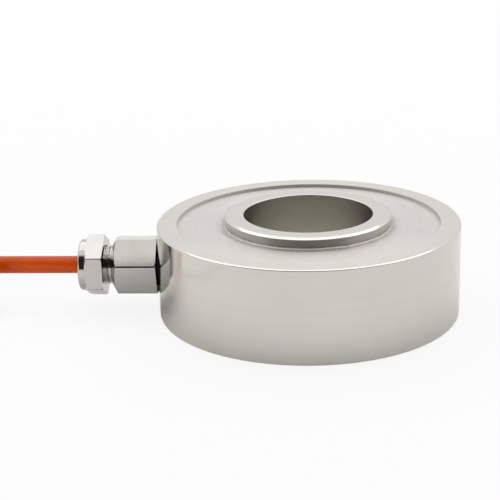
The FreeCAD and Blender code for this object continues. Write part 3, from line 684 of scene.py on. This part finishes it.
def turned_stainless():
    material, tree, shader = new_finish("turned_stainless", (0.69, 0.672, 0.622), 0.2, 1.0)
    coordinate, radius = turning_coordinate(tree, "Z")
    fine = tool_rings(tree, coordinate, 0.12 * MM)
    tone = blended(tree, tool_rings(tree, coordinate, 1.6 * MM), object_noise(tree, 14 * MM), 0.4)
    metal = two_tones(tree, tone, (0.3, (0.67, 0.652, 0.605)), (0.7, (0.71, 0.692, 0.64)))
    # Painted shade: the load ring's outer wall is darkened a little towards brown.
    from_wall = arithmetic(tree, "ABSOLUTE", arithmetic(tree, "SUBTRACT", radius, HUB_RADIUS * MM))
    painted_shade_on_ring_wall = into_range(tree, from_wall, 1.0, 0.0, 0.0, PAINTED_SHADE_SKIN * MM)
    brown_by_heat_and_shade(tree, shader, metal, painted_shade_on_ring_wall, (0.53, 0.505, 0.46))
    level = facing_up(tree)
    past_hub = arithmetic(tree, "GREATER_THAN", radius, RIM_ZONE * MM)
    on_rim = arithmetic(tree, "MULTIPLY", level, past_hub)
    ground = arithmetic(tree, "MULTIPLY_ADD", level, ROUGHER_BY["level"], WALL_ROUGHNESS)
    dull = arithmetic(tree, "MULTIPLY_ADD", on_rim, ROUGHER_BY["rim"], ground)
    in_bore = into_range(tree, radius, ROUGHER_BY["bore"], 0.0, *BORE_SKIN)
    in_recess = into_range(tree, radius, ROUGHER_BY["recess"], 0.0, *RECESS_SKIN)
    inside = arithmetic(tree, "MAXIMUM", in_bore, arithmetic(tree, "MULTIPLY", in_recess, past_hub))
    duller = arithmetic(tree, "ADD", dull, inside)
    rough = arithmetic(tree, "MULTIPLY_ADD", fine, ROUGHER_BY["tool_rings"], duller)
    feed(shader, "Roughness", rough)
    feed(shader, "Anisotropic", arithmetic(tree, "MULTIPLY", on_rim, 0.6))
    circular_grain(tree, shader)
    bump(shader, fine, 0.002 * MM, 0.6)
    return material


stainless = turned_stainless()
print("made", stainless.name)

# %% [markdown]
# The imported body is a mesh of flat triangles, and on its small bevels a mirror finish shows them as dashes.
# So the same section is turned here again with finer steps. Its bevels lean far enough to mirror the
# softbox, which draws the bright lines along the rim and the load ring, and a low lip marks the edge of the
# recess. The port for the gland is then cut with a stepped plug, as a drill would, because a hole across a
# turned wall is a boolean's proper job.

# %% Turned body
BODY_RADIUS = 40.0
RIM_HEIGHT, HUB_HEIGHT, SEAT_HEIGHT = 24.5, 26.5, 22.5
CHAMBER_RADIUS, CHAMBER_FLOOR, COLUMN_RADIUS = 33.5, 5.0, 21.0
LEDGE_RADIUS, LEDGE_UNDERSIDE = 23.0, 21.0
BASE_ROUND, BORE_ROUND = 0.4, 0.25
RIM_BEVEL, HUB_BEVEL = (0.4, 0.25, 0.2), (0.72, 0.45, 0.06)
LIP_WIDTH, LIP_HEIGHT = 0.45, 0.015
BODY_SEGMENTS, PLUG_SEGMENTS = 480, 96
SLIVER_WIDTH = 0.002 * MM
PORT_STEPS = [(33.0, 4.0), (38.8, 4.0), (38.8, 6.2), (42.0, 6.2)]


def arc(centre, rounding, start, end, steps):
    """Section points on a rounded edge, by angle in degrees from outwards."""
    turns = [radians(angle) for angle in evenly(start, end, steps)]
    return [(centre[0] + rounding * cos(turn), centre[1] + rounding * sin(turn)) for turn in turns]


def bevel(radius, height, width, drop, rounding):
    """Section points on a bevelled outer edge whose lower corner is rounded."""
    tilt = degrees(atan2(width, drop))
    step = rounding * tan(radians(tilt / 2))
    return arc((radius - rounding, height - drop - step), rounding, 0, tilt, 6) + [(radius - width, height)]


def body_section():
    """Half section of the body from the bore's foot outwards and round to the bore again."""
    section = [(BORE_RADIUS, 0.0)]
    section += arc((BODY_RADIUS - BASE_ROUND, BASE_ROUND), BASE_ROUND, -90, 0, 8)
    section += bevel(BODY_RADIUS, RIM_HEIGHT, *RIM_BEVEL)
    for i in range(6):
        section.append((RECESS_RADIUS + LIP_WIDTH * (1 - i / 6), RIM_HEIGHT + LIP_HEIGHT * ease(i / 4)))
    section += [(RECESS_RADIUS, RIM_HEIGHT), (RECESS_RADIUS, SEAT_HEIGHT), (CHAMBER_RADIUS, SEAT_HEIGHT)]
    section += [(CHAMBER_RADIUS, CHAMBER_FLOOR), (COLUMN_RADIUS, CHAMBER_FLOOR)]
    section += [(COLUMN_RADIUS, LEDGE_UNDERSIDE), (LEDGE_RADIUS, LEDGE_UNDERSIDE)]
    section += [(LEDGE_RADIUS, SEAT_HEIGHT), (HUB_RADIUS, SEAT_HEIGHT)]
    section += bevel(HUB_RADIUS, HUB_HEIGHT, *HUB_BEVEL)
    section += arc((BORE_RADIUS + BORE_ROUND, HUB_HEIGHT - BORE_ROUND), BORE_ROUND, 90, 180, 5)
    return section


def full_turn(segments):
    return [2 * pi * i / segments for i in range(segments)]


def about_load_axis(turn, r, h):
    return Vector((r * cos(turn), r * sin(turn), h)) * MM


def about_gland(turn, r, station):
    return Vector((-station, -r * sin(turn), r * cos(turn) + GLAND_HEIGHT / MM)) * MM


def turned(section_at, segments):
    """Rings of a lathe piece: its section at equal steps of turn."""
    return [[about_load_axis(turn, r, h) for r, h in section_at(turn)] for turn in full_turn(segments)]


def cut_away(piece, tool):
    """Take the tool's shape out of a piece, merge the slivers this leaves, and drop the tool."""
    cut = piece.modifiers.new("cut", "BOOLEAN")
    cut.object = tool
    cut.solver = "EXACT"
    merge = piece.modifiers.new("merge", "WELD")
    merge.merge_threshold = SLIVER_WIDTH
    shaped = bpy.data.meshes.new_from_object(piece.evaluated_get(bpy.context.evaluated_depsgraph_get()))
    piece.modifiers.clear()
    piece.data = shaped
    bpy.data.objects.remove(tool)


section = body_section()
body = loft("turned_body", (turned(lambda turn: section, BODY_SEGMENTS), True))
plug_turn = full_turn(PLUG_SEGMENTS)
plug_rings = [[about_gland(turn, r, station) for turn in plug_turn] for station, r in PORT_STEPS]
cut_away(body, loft("port_plug", (plug_rings, False)))
keep_flats_flat(body)
place_piece(body, "stainless_body", stainless, "cell_body")
print("body of", len(body.data.polygons), "faces")

# %% [markdown]
# ## Welded cover
# A thin ring closes the gauge chamber. It sits a little below the rim, is turned and lightly blasted, and is
# laser welded to the load ring. The weld is a chain of small overlapping puddles, so its bead is lofted with
# a ripple of that pitch. Beside it the cover is browned in uneven patches: partly heat tint, partly painted
# shade at the foot of the load ring.

# %% Welded cover
COVER_TOP = 23.7
COVER_SEGMENTS = 720
BEAD_WIDTH, BEAD_HEIGHT = 0.6, 0.35
BEAD_FOOT = 1.6 * BEAD_WIDTH
BEAD_FULLNESS = 0.8
BEAD_RIPPLES = 210
BEAD_STEPS = 7
PUDDLE_LEAST, PUDDLE_RISE = 0.75, 0.2
UNEVENNESS = [(0.35, 14), (0.25, 60)]
WELD_SEED = 4


def weld_ripple(turn):
    """Height of the weld along its ring: overlapping puddles of slightly uneven size."""
    height = PUDDLE_LEAST + PUDDLE_RISE * abs(sin(turn * BEAD_RIPPLES / 2))
    spot = Vector((cos(turn), sin(turn), WELD_SEED))
    for share, fineness in UNEVENNESS:
        height += share * noise.noise(spot * fineness)
    return height


def cover_section(turn):
    """Section of the cover at a turn, from the load ring's foot round to it again."""
    swell = weld_ripple(turn)
    section = [(HUB_RADIUS, SEAT_HEIGHT), (RECESS_RADIUS, SEAT_HEIGHT), (RECESS_RADIUS, COVER_TOP)]
    section.append((HUB_RADIUS + BEAD_FOOT, COVER_TOP))
    for share in evenly(0, 1, BEAD_STEPS):
        rise = BEAD_HEIGHT * swell * sin(pi / 2 * share) ** BEAD_FULLNESS
        section.append((HUB_RADIUS + BEAD_WIDTH * (1 - share), COVER_TOP + rise))
    return section


cover = loft("welded_cover", (turned(cover_section, COVER_SEGMENTS), True))
print("cover with", BEAD_RIPPLES, "weld puddles,", len(cover.data.polygons), "faces")

# %% Blasted finish
PATCH_SIZE, PATCH_REACH = 2.5 * MM, 2.2 * MM
HEAT_AND_SHADE_FADE = (23.5 * MM, 25.1 * MM)
BEAD_EDGE = (22.4 * MM, 22.7 * MM)


def blasted_cover():
    material, tree, shader = new_finish("blasted_cover", (0.7, 0.69, 0.665), 0.36, 1.0)
    coordinate, radius = turning_coordinate(tree, "Z")
    tone = blended(tree, tool_rings(tree, coordinate, 1.1 * MM, 3.0), object_noise(tree, 9 * MM, 3.0), 0.5)
    metal = two_tones(tree, tone, (0.3, (0.61, 0.6, 0.58)), (0.7, (0.67, 0.66, 0.64)))
    # Partly heat tint, partly painted shade: the cover browns in patches at the load ring's foot, and on the
    # bead too.
    patch = arithmetic(tree, "MULTIPLY_ADD", object_noise(tree, PATCH_SIZE, 3.0), PATCH_REACH, radius)
    reach = into_range(tree, patch, 1.0, 0.0, *HEAT_AND_SHADE_FADE)
    past_bead = into_range(tree, radius, 0.75, 1.0, *BEAD_EDGE)
    brown_by_heat_and_shade(tree, shader, metal, arithmetic(tree, "MULTIPLY", reach, past_bead), (0.47, 0.45, 0.41))
    grain = object_noise(tree, 0.22 * MM, 2.0)
    feed(shader, "Roughness", arithmetic(tree, "MULTIPLY_ADD", grain, 0.1, 0.4))
    shader.inputs["Anisotropic"].default_value = 0.5
    circular_grain(tree, shader)
    bump(shader, grain, 0.012 * MM, 0.6)
    return material


place_piece(cover, "stainless_cover", blasted_cover(), "top_cover_ring")
print("made", cover.data.materials[0].name)

# %% [markdown]
# ## Gland body
# The gland is a hex bar turned down at both ends: a threaded stub in the cell's wall and a threaded neck for
# the nut. It could be cut from solids with booleans, but a skin of rings is cleaner. Round each ring the
# radius is the smaller of the rounded hexagon and the turning cone, which draws the curved chamfer by itself,
# and on the neck it follows a helix, which draws the thread.

# %% Hex bar
FLAT_STEPS, EDGE_STEPS = 18, 8
CHAMFER_SLOPE = tan(pi / 6)


def flat_half_angle(bar):
    """Half of the angle that a flat takes up, between its rounded edges."""
    return atan((bar["apothem"] - bar["rounding"]) * tan(pi / 6) / bar["apothem"])


def hex_radius(bar, angle):
    """Radius of the rounded hexagon at an angle from the direction up; polishing leaves its flats crowned."""
    from_middle = abs((angle - radians(bar["turn"])) % (pi / 3) - pi / 6)
    if from_middle < flat_half_angle(bar):
        along = tan(from_middle) / tan(flat_half_angle(bar))
        return (bar["apothem"] - bar["crown"] * along ** 2) / cos(from_middle)
    from_corner = pi / 6 - from_middle
    centre = (bar["apothem"] - bar["crown"] - bar["rounding"]) / cos(pi / 6)
    to_edge = sqrt(bar["rounding"] ** 2 - (centre * sin(from_corner)) ** 2)
    return centre * cos(from_corner) + to_edge


def ring_angles(bar):
    """Angles round the gland, close together on the hexagon's six rounded edges."""
    half = flat_half_angle(bar)
    angles = []
    for side in range(6):
        middle = radians(bar["turn"] + 30 + 60 * side)
        angles += [middle + half * (2 * i / FLAT_STEPS - 1) for i in range(FLAT_STEPS)]
        angles += [middle + half + (pi / 3 - 2 * half) * i / EDGE_STEPS for i in range(EDGE_STEPS)]
    return angles


def gland_ring(bar, station, radius_at):
    """Points round the gland's axis at a station outwards along -X."""
    return [about_gland(angle, radius_at(angle), station) for angle in ring_angles(bar)]


def round_rings(bar, outline):
    """Plain round rings from (station, radius) pairs."""
    return [gland_ring(bar, station, lambda angle, r=r: r) for station, r in outline]


def hex_rings(bar, foot_steps, cone_steps):
    """Rings of a hexagon whose foot is bevelled and whose end is turned off by a cone."""
    corner = bar["apothem"] / cos(pi / 6)
    foot, end = bar["start"], bar["end"]
    cone_start = end - (corner - bar["cone_radius"]) * CHAMFER_SLOPE
    limits = []
    for station in evenly(foot, foot + bar["foot_bevel"], foot_steps):
        limits.append((station, corner - bar["foot_bevel"] + (station - foot)))
    for station in evenly(cone_start, end, cone_steps):
        limits.append((station, corner - (station - cone_start) / CHAMFER_SLOPE))
    return [gland_ring(bar, station, lambda angle, limit=limit: min(hex_radius(bar, angle), limit))
            for station, limit in limits]


print("hex bar helpers ready")

# %% Gland body
BLOCK = {"apothem": 7.5, "rounding": 0.8, "turn": 17.0, "crown": 0.09,
         "start": 40.2, "foot_bevel": 0.4, "end": 52.5, "cone_radius": 5.45}
NECK_RADIUS, NECK_END, NECK_STEPS = 5.3, 58.6, 70
THREAD_PITCH, THREAD_DEPTH = 1.0, 0.5
VALLEY_SHARE = 0.44
RUNOUT_DEPTH = 0.3
STUB_START, STUB_RADIUS = 34.5, 3.95
SEAL_POCKET_RADIUS, SEAL_POCKET_START, SEAL_POCKET_CONE = 3.7, 51.0, 0.8
PASSAGE_RADIUS = 2.55


def neck_radius(station, angle):
    """Radius of the neck: a plain runout, then a helical V thread with flat crests, then a bevelled end."""
    along = (station / THREAD_PITCH + angle / (2 * pi)) % 1
    thread = NECK_RADIUS - THREAD_DEPTH * max(0.0, 1 - abs(along - 0.5) / VALLEY_SHARE)
    runout = NECK_RADIUS - RUNOUT_DEPTH
    begun = ease((station - BLOCK["end"]) / RUNOUT_DEPTH - 1)
    return min(runout + max(0.0, NECK_END - station), between(runout, thread, begun))


def build_gland():
    skin = round_rings(BLOCK, [
        (STUB_START, STUB_RADIUS - RUNOUT_DEPTH), (STUB_START + RUNOUT_DEPTH, STUB_RADIUS),
        (BLOCK["start"], STUB_RADIUS)])
    skin += hex_rings(BLOCK, foot_steps=4, cone_steps=24)
    for station in evenly(BLOCK["end"], NECK_END, NECK_STEPS):
        skin.append(gland_ring(BLOCK, station, lambda angle, s=station: neck_radius(s, angle)))
    skin += round_rings(BLOCK, [
        (NECK_END, SEAL_POCKET_RADIUS), (SEAL_POCKET_START, SEAL_POCKET_RADIUS),
        (SEAL_POCKET_START - SEAL_POCKET_CONE, PASSAGE_RADIUS), (STUB_START, PASSAGE_RADIUS)])
    return loft("threaded_gland", (skin, True))


def plated_metal():
    """Bright nickel plate over turned brass: a near mirror with faint tool rings and handling marks."""
    material, tree, shader = new_finish("nickel_plate", (0.56, 0.55, 0.525), 0.08, 1.0)
    fine = tool_rings(tree, turning_coordinate(tree, "X", (0.0, 0.0, GLAND_HEIGHT))[0], 0.15 * MM)
    cloud = object_noise(tree, 4 * MM, 3.0)
    tint(shader, cloud, (0.3, (0.54, 0.53, 0.505)), (0.7, (0.58, 0.57, 0.545)))
    haze = into_range(tree, object_noise(tree, 1.2 * MM, 4.0), 0.05, 0.13, 0.3, 0.7)
    feed(shader, "Roughness", arithmetic(tree, "MULTIPLY_ADD", fine, 0.03, haze))
    bump(shader, fine, 0.001 * MM, 0.5)
    return material


nickel = plated_metal()
gland = build_gland()
keep_flats_flat(gland)
place_piece(gland, "gland_metal", nickel, "gland_body")
print("gland of", len(gland.data.polygons), "faces")

# %% [markdown]
# ## Compression nut
# The nut is skinned in the same way: six flats with crisp edges, whose corners are turned off towards the
# cap, then the round cap with its rounded rim, and inside the cable hole, the washer's seat and the plain
# bore that stands for the thread.

# %% Compression nut
NUT_HEX = {"apothem": 7.5, "rounding": 0.3, "turn": 1.3, "crown": 0.0,
           "start": 54.5, "foot_bevel": 0.3, "end": 59.2, "cone_radius": 7.6}
CAP_RADIUS, CAP_ROUND = 6.9, 0.55
NUT_HOLE_RADIUS, NUT_THREAD_RADIUS, NUT_THREAD_END = 2.65, 5.35, 59.0
WASHER_SEAT, WASHER_ROOM = 59.7, 4.65


def build_nut():
    end = NUT_END / MM
    cap_rim = arc((end - CAP_ROUND, CAP_RADIUS - CAP_ROUND), CAP_ROUND, 90, 0, 8)
    skin = hex_rings(NUT_HEX, foot_steps=3, cone_steps=8)
    skin += round_rings(NUT_HEX, [(NUT_HEX["end"], CAP_RADIUS)] + cap_rim + [
        (end, NUT_HOLE_RADIUS), (WASHER_SEAT, NUT_HOLE_RADIUS), (WASHER_SEAT, WASHER_ROOM),
        (NUT_THREAD_END, WASHER_ROOM), (NUT_THREAD_END, NUT_THREAD_RADIUS),
        (NUT_HEX["start"], NUT_THREAD_RADIUS)])
    return loft("capped_nut", (skin, True))


nut = build_nut()
keep_flats_flat(nut)
place_piece(nut, "gland_metal", nickel, "compression_nut")
print("nut of", len(nut.data.polygons), "faces")

# %% [markdown]
# ## Cable ties
# Two black nylon ties hold the coil. A tie is a strap with raised borders that runs round the coil's section
# and through its own lock, where the spare end is cut off flush. The strap is a loft along its rounded line,
# and the lock is a stack of rounded rectangles that goes down again into its slot. Moulded nylon has a fine
# spark-eroded grain and a soft shine.

# %% Cable ties
TIE_DIRECTIONS = {"coil_tie_1": 20, "coil_tie_2": 250}
STRAP_CORNERS = [(16.25, 0.55), (36.55, 0.55), (36.55, 20.35), (31.55, 25.4), (16.25, 25.4)]
STRAP_ROUND, STRAP_ROUND_STEPS = 2.4, 8
STRAP_SECTION = [
    (-2.0, -0.45), (-1.9, -0.55), (1.9, -0.55), (2.0, -0.45), (2.0, 0.45), (1.9, 0.55),
    (1.5, 0.55), (1.3, 0.36), (-1.3, 0.36), (-1.5, 0.55), (-1.9, 0.55), (-2.0, 0.45),
]
LOCK_MIDDLE, LOCK_ROUND = 24.75, 0.5
LOCK_LEVELS = [
    (25.45, 2.7, 2.45), (25.75, 3.0, 2.75), (28.05, 3.0, 2.75), (28.3, 2.9, 2.65), (28.4, 2.7, 2.45),
    (28.4, 1.0, 2.2), (28.25, 0.9, 2.1), (27.45, 0.9, 2.1), (27.45, 0.55, 1.9), (28.25, 0.55, 1.9),
]


def strap_line():
    """Middle line of the strap in the coil's section, with rounded corners, and its outward direction."""
    line = []
    for i, corner in enumerate(STRAP_CORNERS):
        here = Vector(corner)
        before = Vector(STRAP_CORNERS[i - 1])
        after = Vector(STRAP_CORNERS[(i + 1) % len(STRAP_CORNERS)])
        start = here + (before - here).normalized() * STRAP_ROUND
        end = here + (after - here).normalized() * STRAP_ROUND
        for share in evenly(0, 1, STRAP_ROUND_STEPS):
            on_first, on_second = start.lerp(here, share), here.lerp(end, share)
            along = (on_second - on_first).normalized()
            line.append((on_first.lerp(on_second, share), Vector((along.y, -along.x))))
    return line


def rounded_rectangle(half_length, half_width, rounding):
    """Outline points of a rectangle with rounded corners, always the same number."""
    rounding = min(rounding, half_length * 0.9, half_width * 0.9)
    outline = []
    for side, end, start in [(1, 1, 0), (-1, 1, 90), (-1, -1, 180), (1, -1, 270)]:
        centre = (side * (half_length - rounding), end * (half_width - rounding))
        outline += arc(centre, rounding, start, start + 90, 4)
    return outline


def at_coil(direction, out, across, up):
    """A point in the section plane of the coil at a direction, with a step across that plane."""
    turn = radians(direction)
    sideways = Vector((-sin(turn), cos(turn), 0))
    return coil_point(direction, out * MM, up * MM) + sideways * across * MM


def build_tie(name, direction):
    strap = []
    for middle, outward in strap_line():
        strap.append([at_coil(direction, middle.x + outward.x * rise, across, middle.y + outward.y * rise)
                      for across, rise in STRAP_SECTION])
    lock = []
    for level, half_length, half_width in LOCK_LEVELS:
        outline = rounded_rectangle(half_length, half_width, LOCK_ROUND)
        lock.append([at_coil(direction, LOCK_MIDDLE + along, across, level) for along, across in outline])
    return loft(name, (strap, True), (lock, False))


def grained_finish(name, dark, pale, clouds, grain_size, roughness, relief, metallic=0.0):
    """Two near tones in soft clouds, with a fine grain in the roughness and the bump."""
    material, tree, shader = new_finish(name, dark, roughness[0], metallic)
    tint(shader, object_noise(tree, clouds), (0.3, dark), (0.7, pale))
    grain = object_noise(tree, grain_size, 3.0)
    roughen(shader, grain, *roughness)
    bump(shader, grain, *relief)
    return material


black_nylon = grained_finish("black_nylon", (0.022, 0.022, 0.024), (0.04, 0.04, 0.041),
                             5 * MM, 0.15 * MM, (0.34, 0.56), (0.01 * MM, 0.7))
for node, direction in TIE_DIRECTIONS.items():
    tie = build_tie(f"nylon_{node}", direction)
    place_piece(tie, "tie_nylon", black_nylon, node)

# %% [markdown]
# ## Shrink sleeve
# A short black sleeve closes the jacket's end. Heat has drawn it in: tight on the jacket, a little wrinkled,
# and narrower where it holds only the five leads. It is one loft along the coil with a changing radius, and
# its surface is waxy and faintly dimpled.

# %% Shrink sleeve
SLEEVE_STEPS, SLEEVE_POINTS = 48, 40
SLEEVE_SPAN = (383.0, 410.6)
JACKET_OUT, JACKET_UP = place_in_section(*COIL_PLACES[-1])
ON_JACKET, SWELL, DRAWN_IN = 2.46, 0.2, 0.46
SWOLLEN_AT, DRAWN_FROM, DRAWN_OVER = 0.15, 0.72, 0.22
WRINKLE_DEPTH = 0.035
EDGE_ROUND, END_ROUND = 0.06, 0.25


def sleeve_radius(share, turn):
    """Radius along the sleeve: over the jacket, then drawn in on the leads, with small wrinkles."""
    drawn = ON_JACKET + SWELL * ease(share / SWOLLEN_AT) - DRAWN_IN * ease((share - DRAWN_FROM) / DRAWN_OVER)
    wrinkle = WRINKLE_DEPTH * noise.noise(Vector((cos(turn) * 1.5, sin(turn) * 1.5, share * 9)))
    closing = END_ROUND * ease((share - 0.97) / 0.03) + EDGE_ROUND * (1 - ease(share / 0.02))
    return (drawn + wrinkle - closing) * MM


def build_sleeve():
    skin = []
    for share in evenly(0, 1, SLEEVE_STEPS):
        angle = between(*SLEEVE_SPAN, share)
        lifted = ease((share - 0.05) / 0.25)
        out = between(JACKET_OUT, SLEEVE_CIRCLE, lifted)
        up = between(JACKET_UP, SLEEVE_HEIGHT, lifted)
        ring = []
        for turn in full_turn(SLEEVE_POINTS):
            r = sleeve_radius(share, turn)
            ring.append(coil_point(angle, out + r * cos(turn), up + r * sin(turn)))
        skin.append(ring)
    return loft("shrunk_sleeve", (skin, False))


shrunk = grained_finish("shrunk_polyolefin", (0.017, 0.017, 0.018), (0.03, 0.03, 0.031),
                        4 * MM, 0.5 * MM, (0.4, 0.62), (0.03 * MM, 0.6))
sleeve = build_sleeve()
place_piece(sleeve, "shrink_sleeve", shrunk, "end_sleeve")
print("sleeve of", len(sleeve.data.polygons), "faces")

# %% [markdown]
# ## Hidden pieces
# Gauges, board, seals and wires sit inside, and the model keeps them for anyone who takes it apart.
# Their solids are right as they are, so each only gets its finish: amber film with a foil grid on the
# gauges, solder resist with tracks on the board, tin on the wires and posts, and grained rubber and nylon on
# the seals.

# %% Gauge and board finishes
GRID_PITCH, TRACK_PITCH = 0.5 * MM, 1.6 * MM


def stripes(tree, coordinate, pitch):
    """0 and 1 in turn along a coordinate."""
    wave = arithmetic(tree, "SINE", arithmetic(tree, "MULTIPLY", coordinate, 2 * pi / pitch))
    return arithmetic(tree, "GREATER_THAN", wave, 0.0)


def gauge_finish(name, upright):
    """Amber film over a foil grid whose lines run up the column or round it."""
    material, tree, shader = new_finish(name, (0.6, 0.32, 0.08), 0.35)
    x, y, z = axes(tree, own_space(tree))
    round_column = arithmetic(tree, "MULTIPLY", arithmetic(tree, "ARCTAN2", y, x), COLUMN_RADIUS * MM)
    lines = stripes(tree, round_column if upright else z, GRID_PITCH)
    tint(shader, lines, (0.0, (0.6, 0.3, 0.07)), (1.0, (0.5, 0.42, 0.3)))
    feed(shader, "Metallic", arithmetic(tree, "MULTIPLY", lines, 0.7))
    roughen(shader, object_noise(tree, 0.6 * MM), 0.25, 0.45)
    bump(shader, lines, 0.01 * MM)
    return material


def board_finish():
    """Green solder resist, paler over the ring tracks under it."""
    material, tree, shader = new_finish("solder_resist", (0.03, 0.16, 0.07), 0.35)
    tracks = stripes(tree, turning_coordinate(tree, "Z")[1], TRACK_PITCH)
    cloud = object_noise(tree, 3 * MM)
    tone = blended(tree, tracks, cloud, 0.6)
    tint(shader, tone, (0.1, (0.018, 0.12, 0.05)), (0.9, (0.05, 0.24, 0.1)))
    roughen(shader, cloud, 0.28, 0.44)
    bump(shader, tracks, 0.03 * MM)
    return material


nodes["axial_strain_gauges"].data.materials[0] = gauge_finish("axial_gauge_film", upright=True)
nodes["hoop_strain_gauges"].data.materials[0] = gauge_finish("hoop_gauge_film", upright=False)
nodes["bridge_board"].data.materials[0] = board_finish()
print("gauges and board finished")

# %% Tin, rubber, nylon and ceramic
HIDDEN_FINISHES = {
    "dipped_tin": ((0.62, 0.61, 0.58), (0.74, 0.73, 0.7), 0.2 * MM, 0.26, 1.0,
                   "gauge_leads", "solder_posts", "tinned_tips"),
    "seal_rubber_black": ((0.024, 0.024, 0.025), (0.04, 0.04, 0.04), 0.25 * MM, 0.62, 0.0,
                          "gland_o_ring", "seal_insert"),
    "natural_nylon": ((0.7, 0.68, 0.62), (0.78, 0.76, 0.71), 0.3 * MM, 0.4, 0.0, "thrust_washer"),
    "chip_ceramic_dark": ((0.04, 0.04, 0.05), (0.07, 0.07, 0.08), 0.15 * MM, 0.45, 0.0, "trim_resistors"),
}
for name, (dark, pale, grain, rough, metallic, *hidden) in HIDDEN_FINISHES.items():
    material = grained_finish(name, dark, pale, 12 * grain, grain, (rough - 0.08, rough + 0.08),
                              (grain / 12, 0.6), metallic)
    for node in hidden:
        nodes[node].data.materials[0] = material
    print("finished", ", ".join(hidden))

# %% [markdown]
# ## Lengths and sizes
# The cable's length is measured on its own curve. The box of the dressed model is measured too, because
# dressing must not change the part's size.

# %% Sizes and finish
cable_length = line_length(cable)
visual_low, visual_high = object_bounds()
dressed = [round(side / MM, 1) for side in visual_high - visual_low]
print("cable of", round(cable_length, 3), "m, dressed box in mm", dressed)
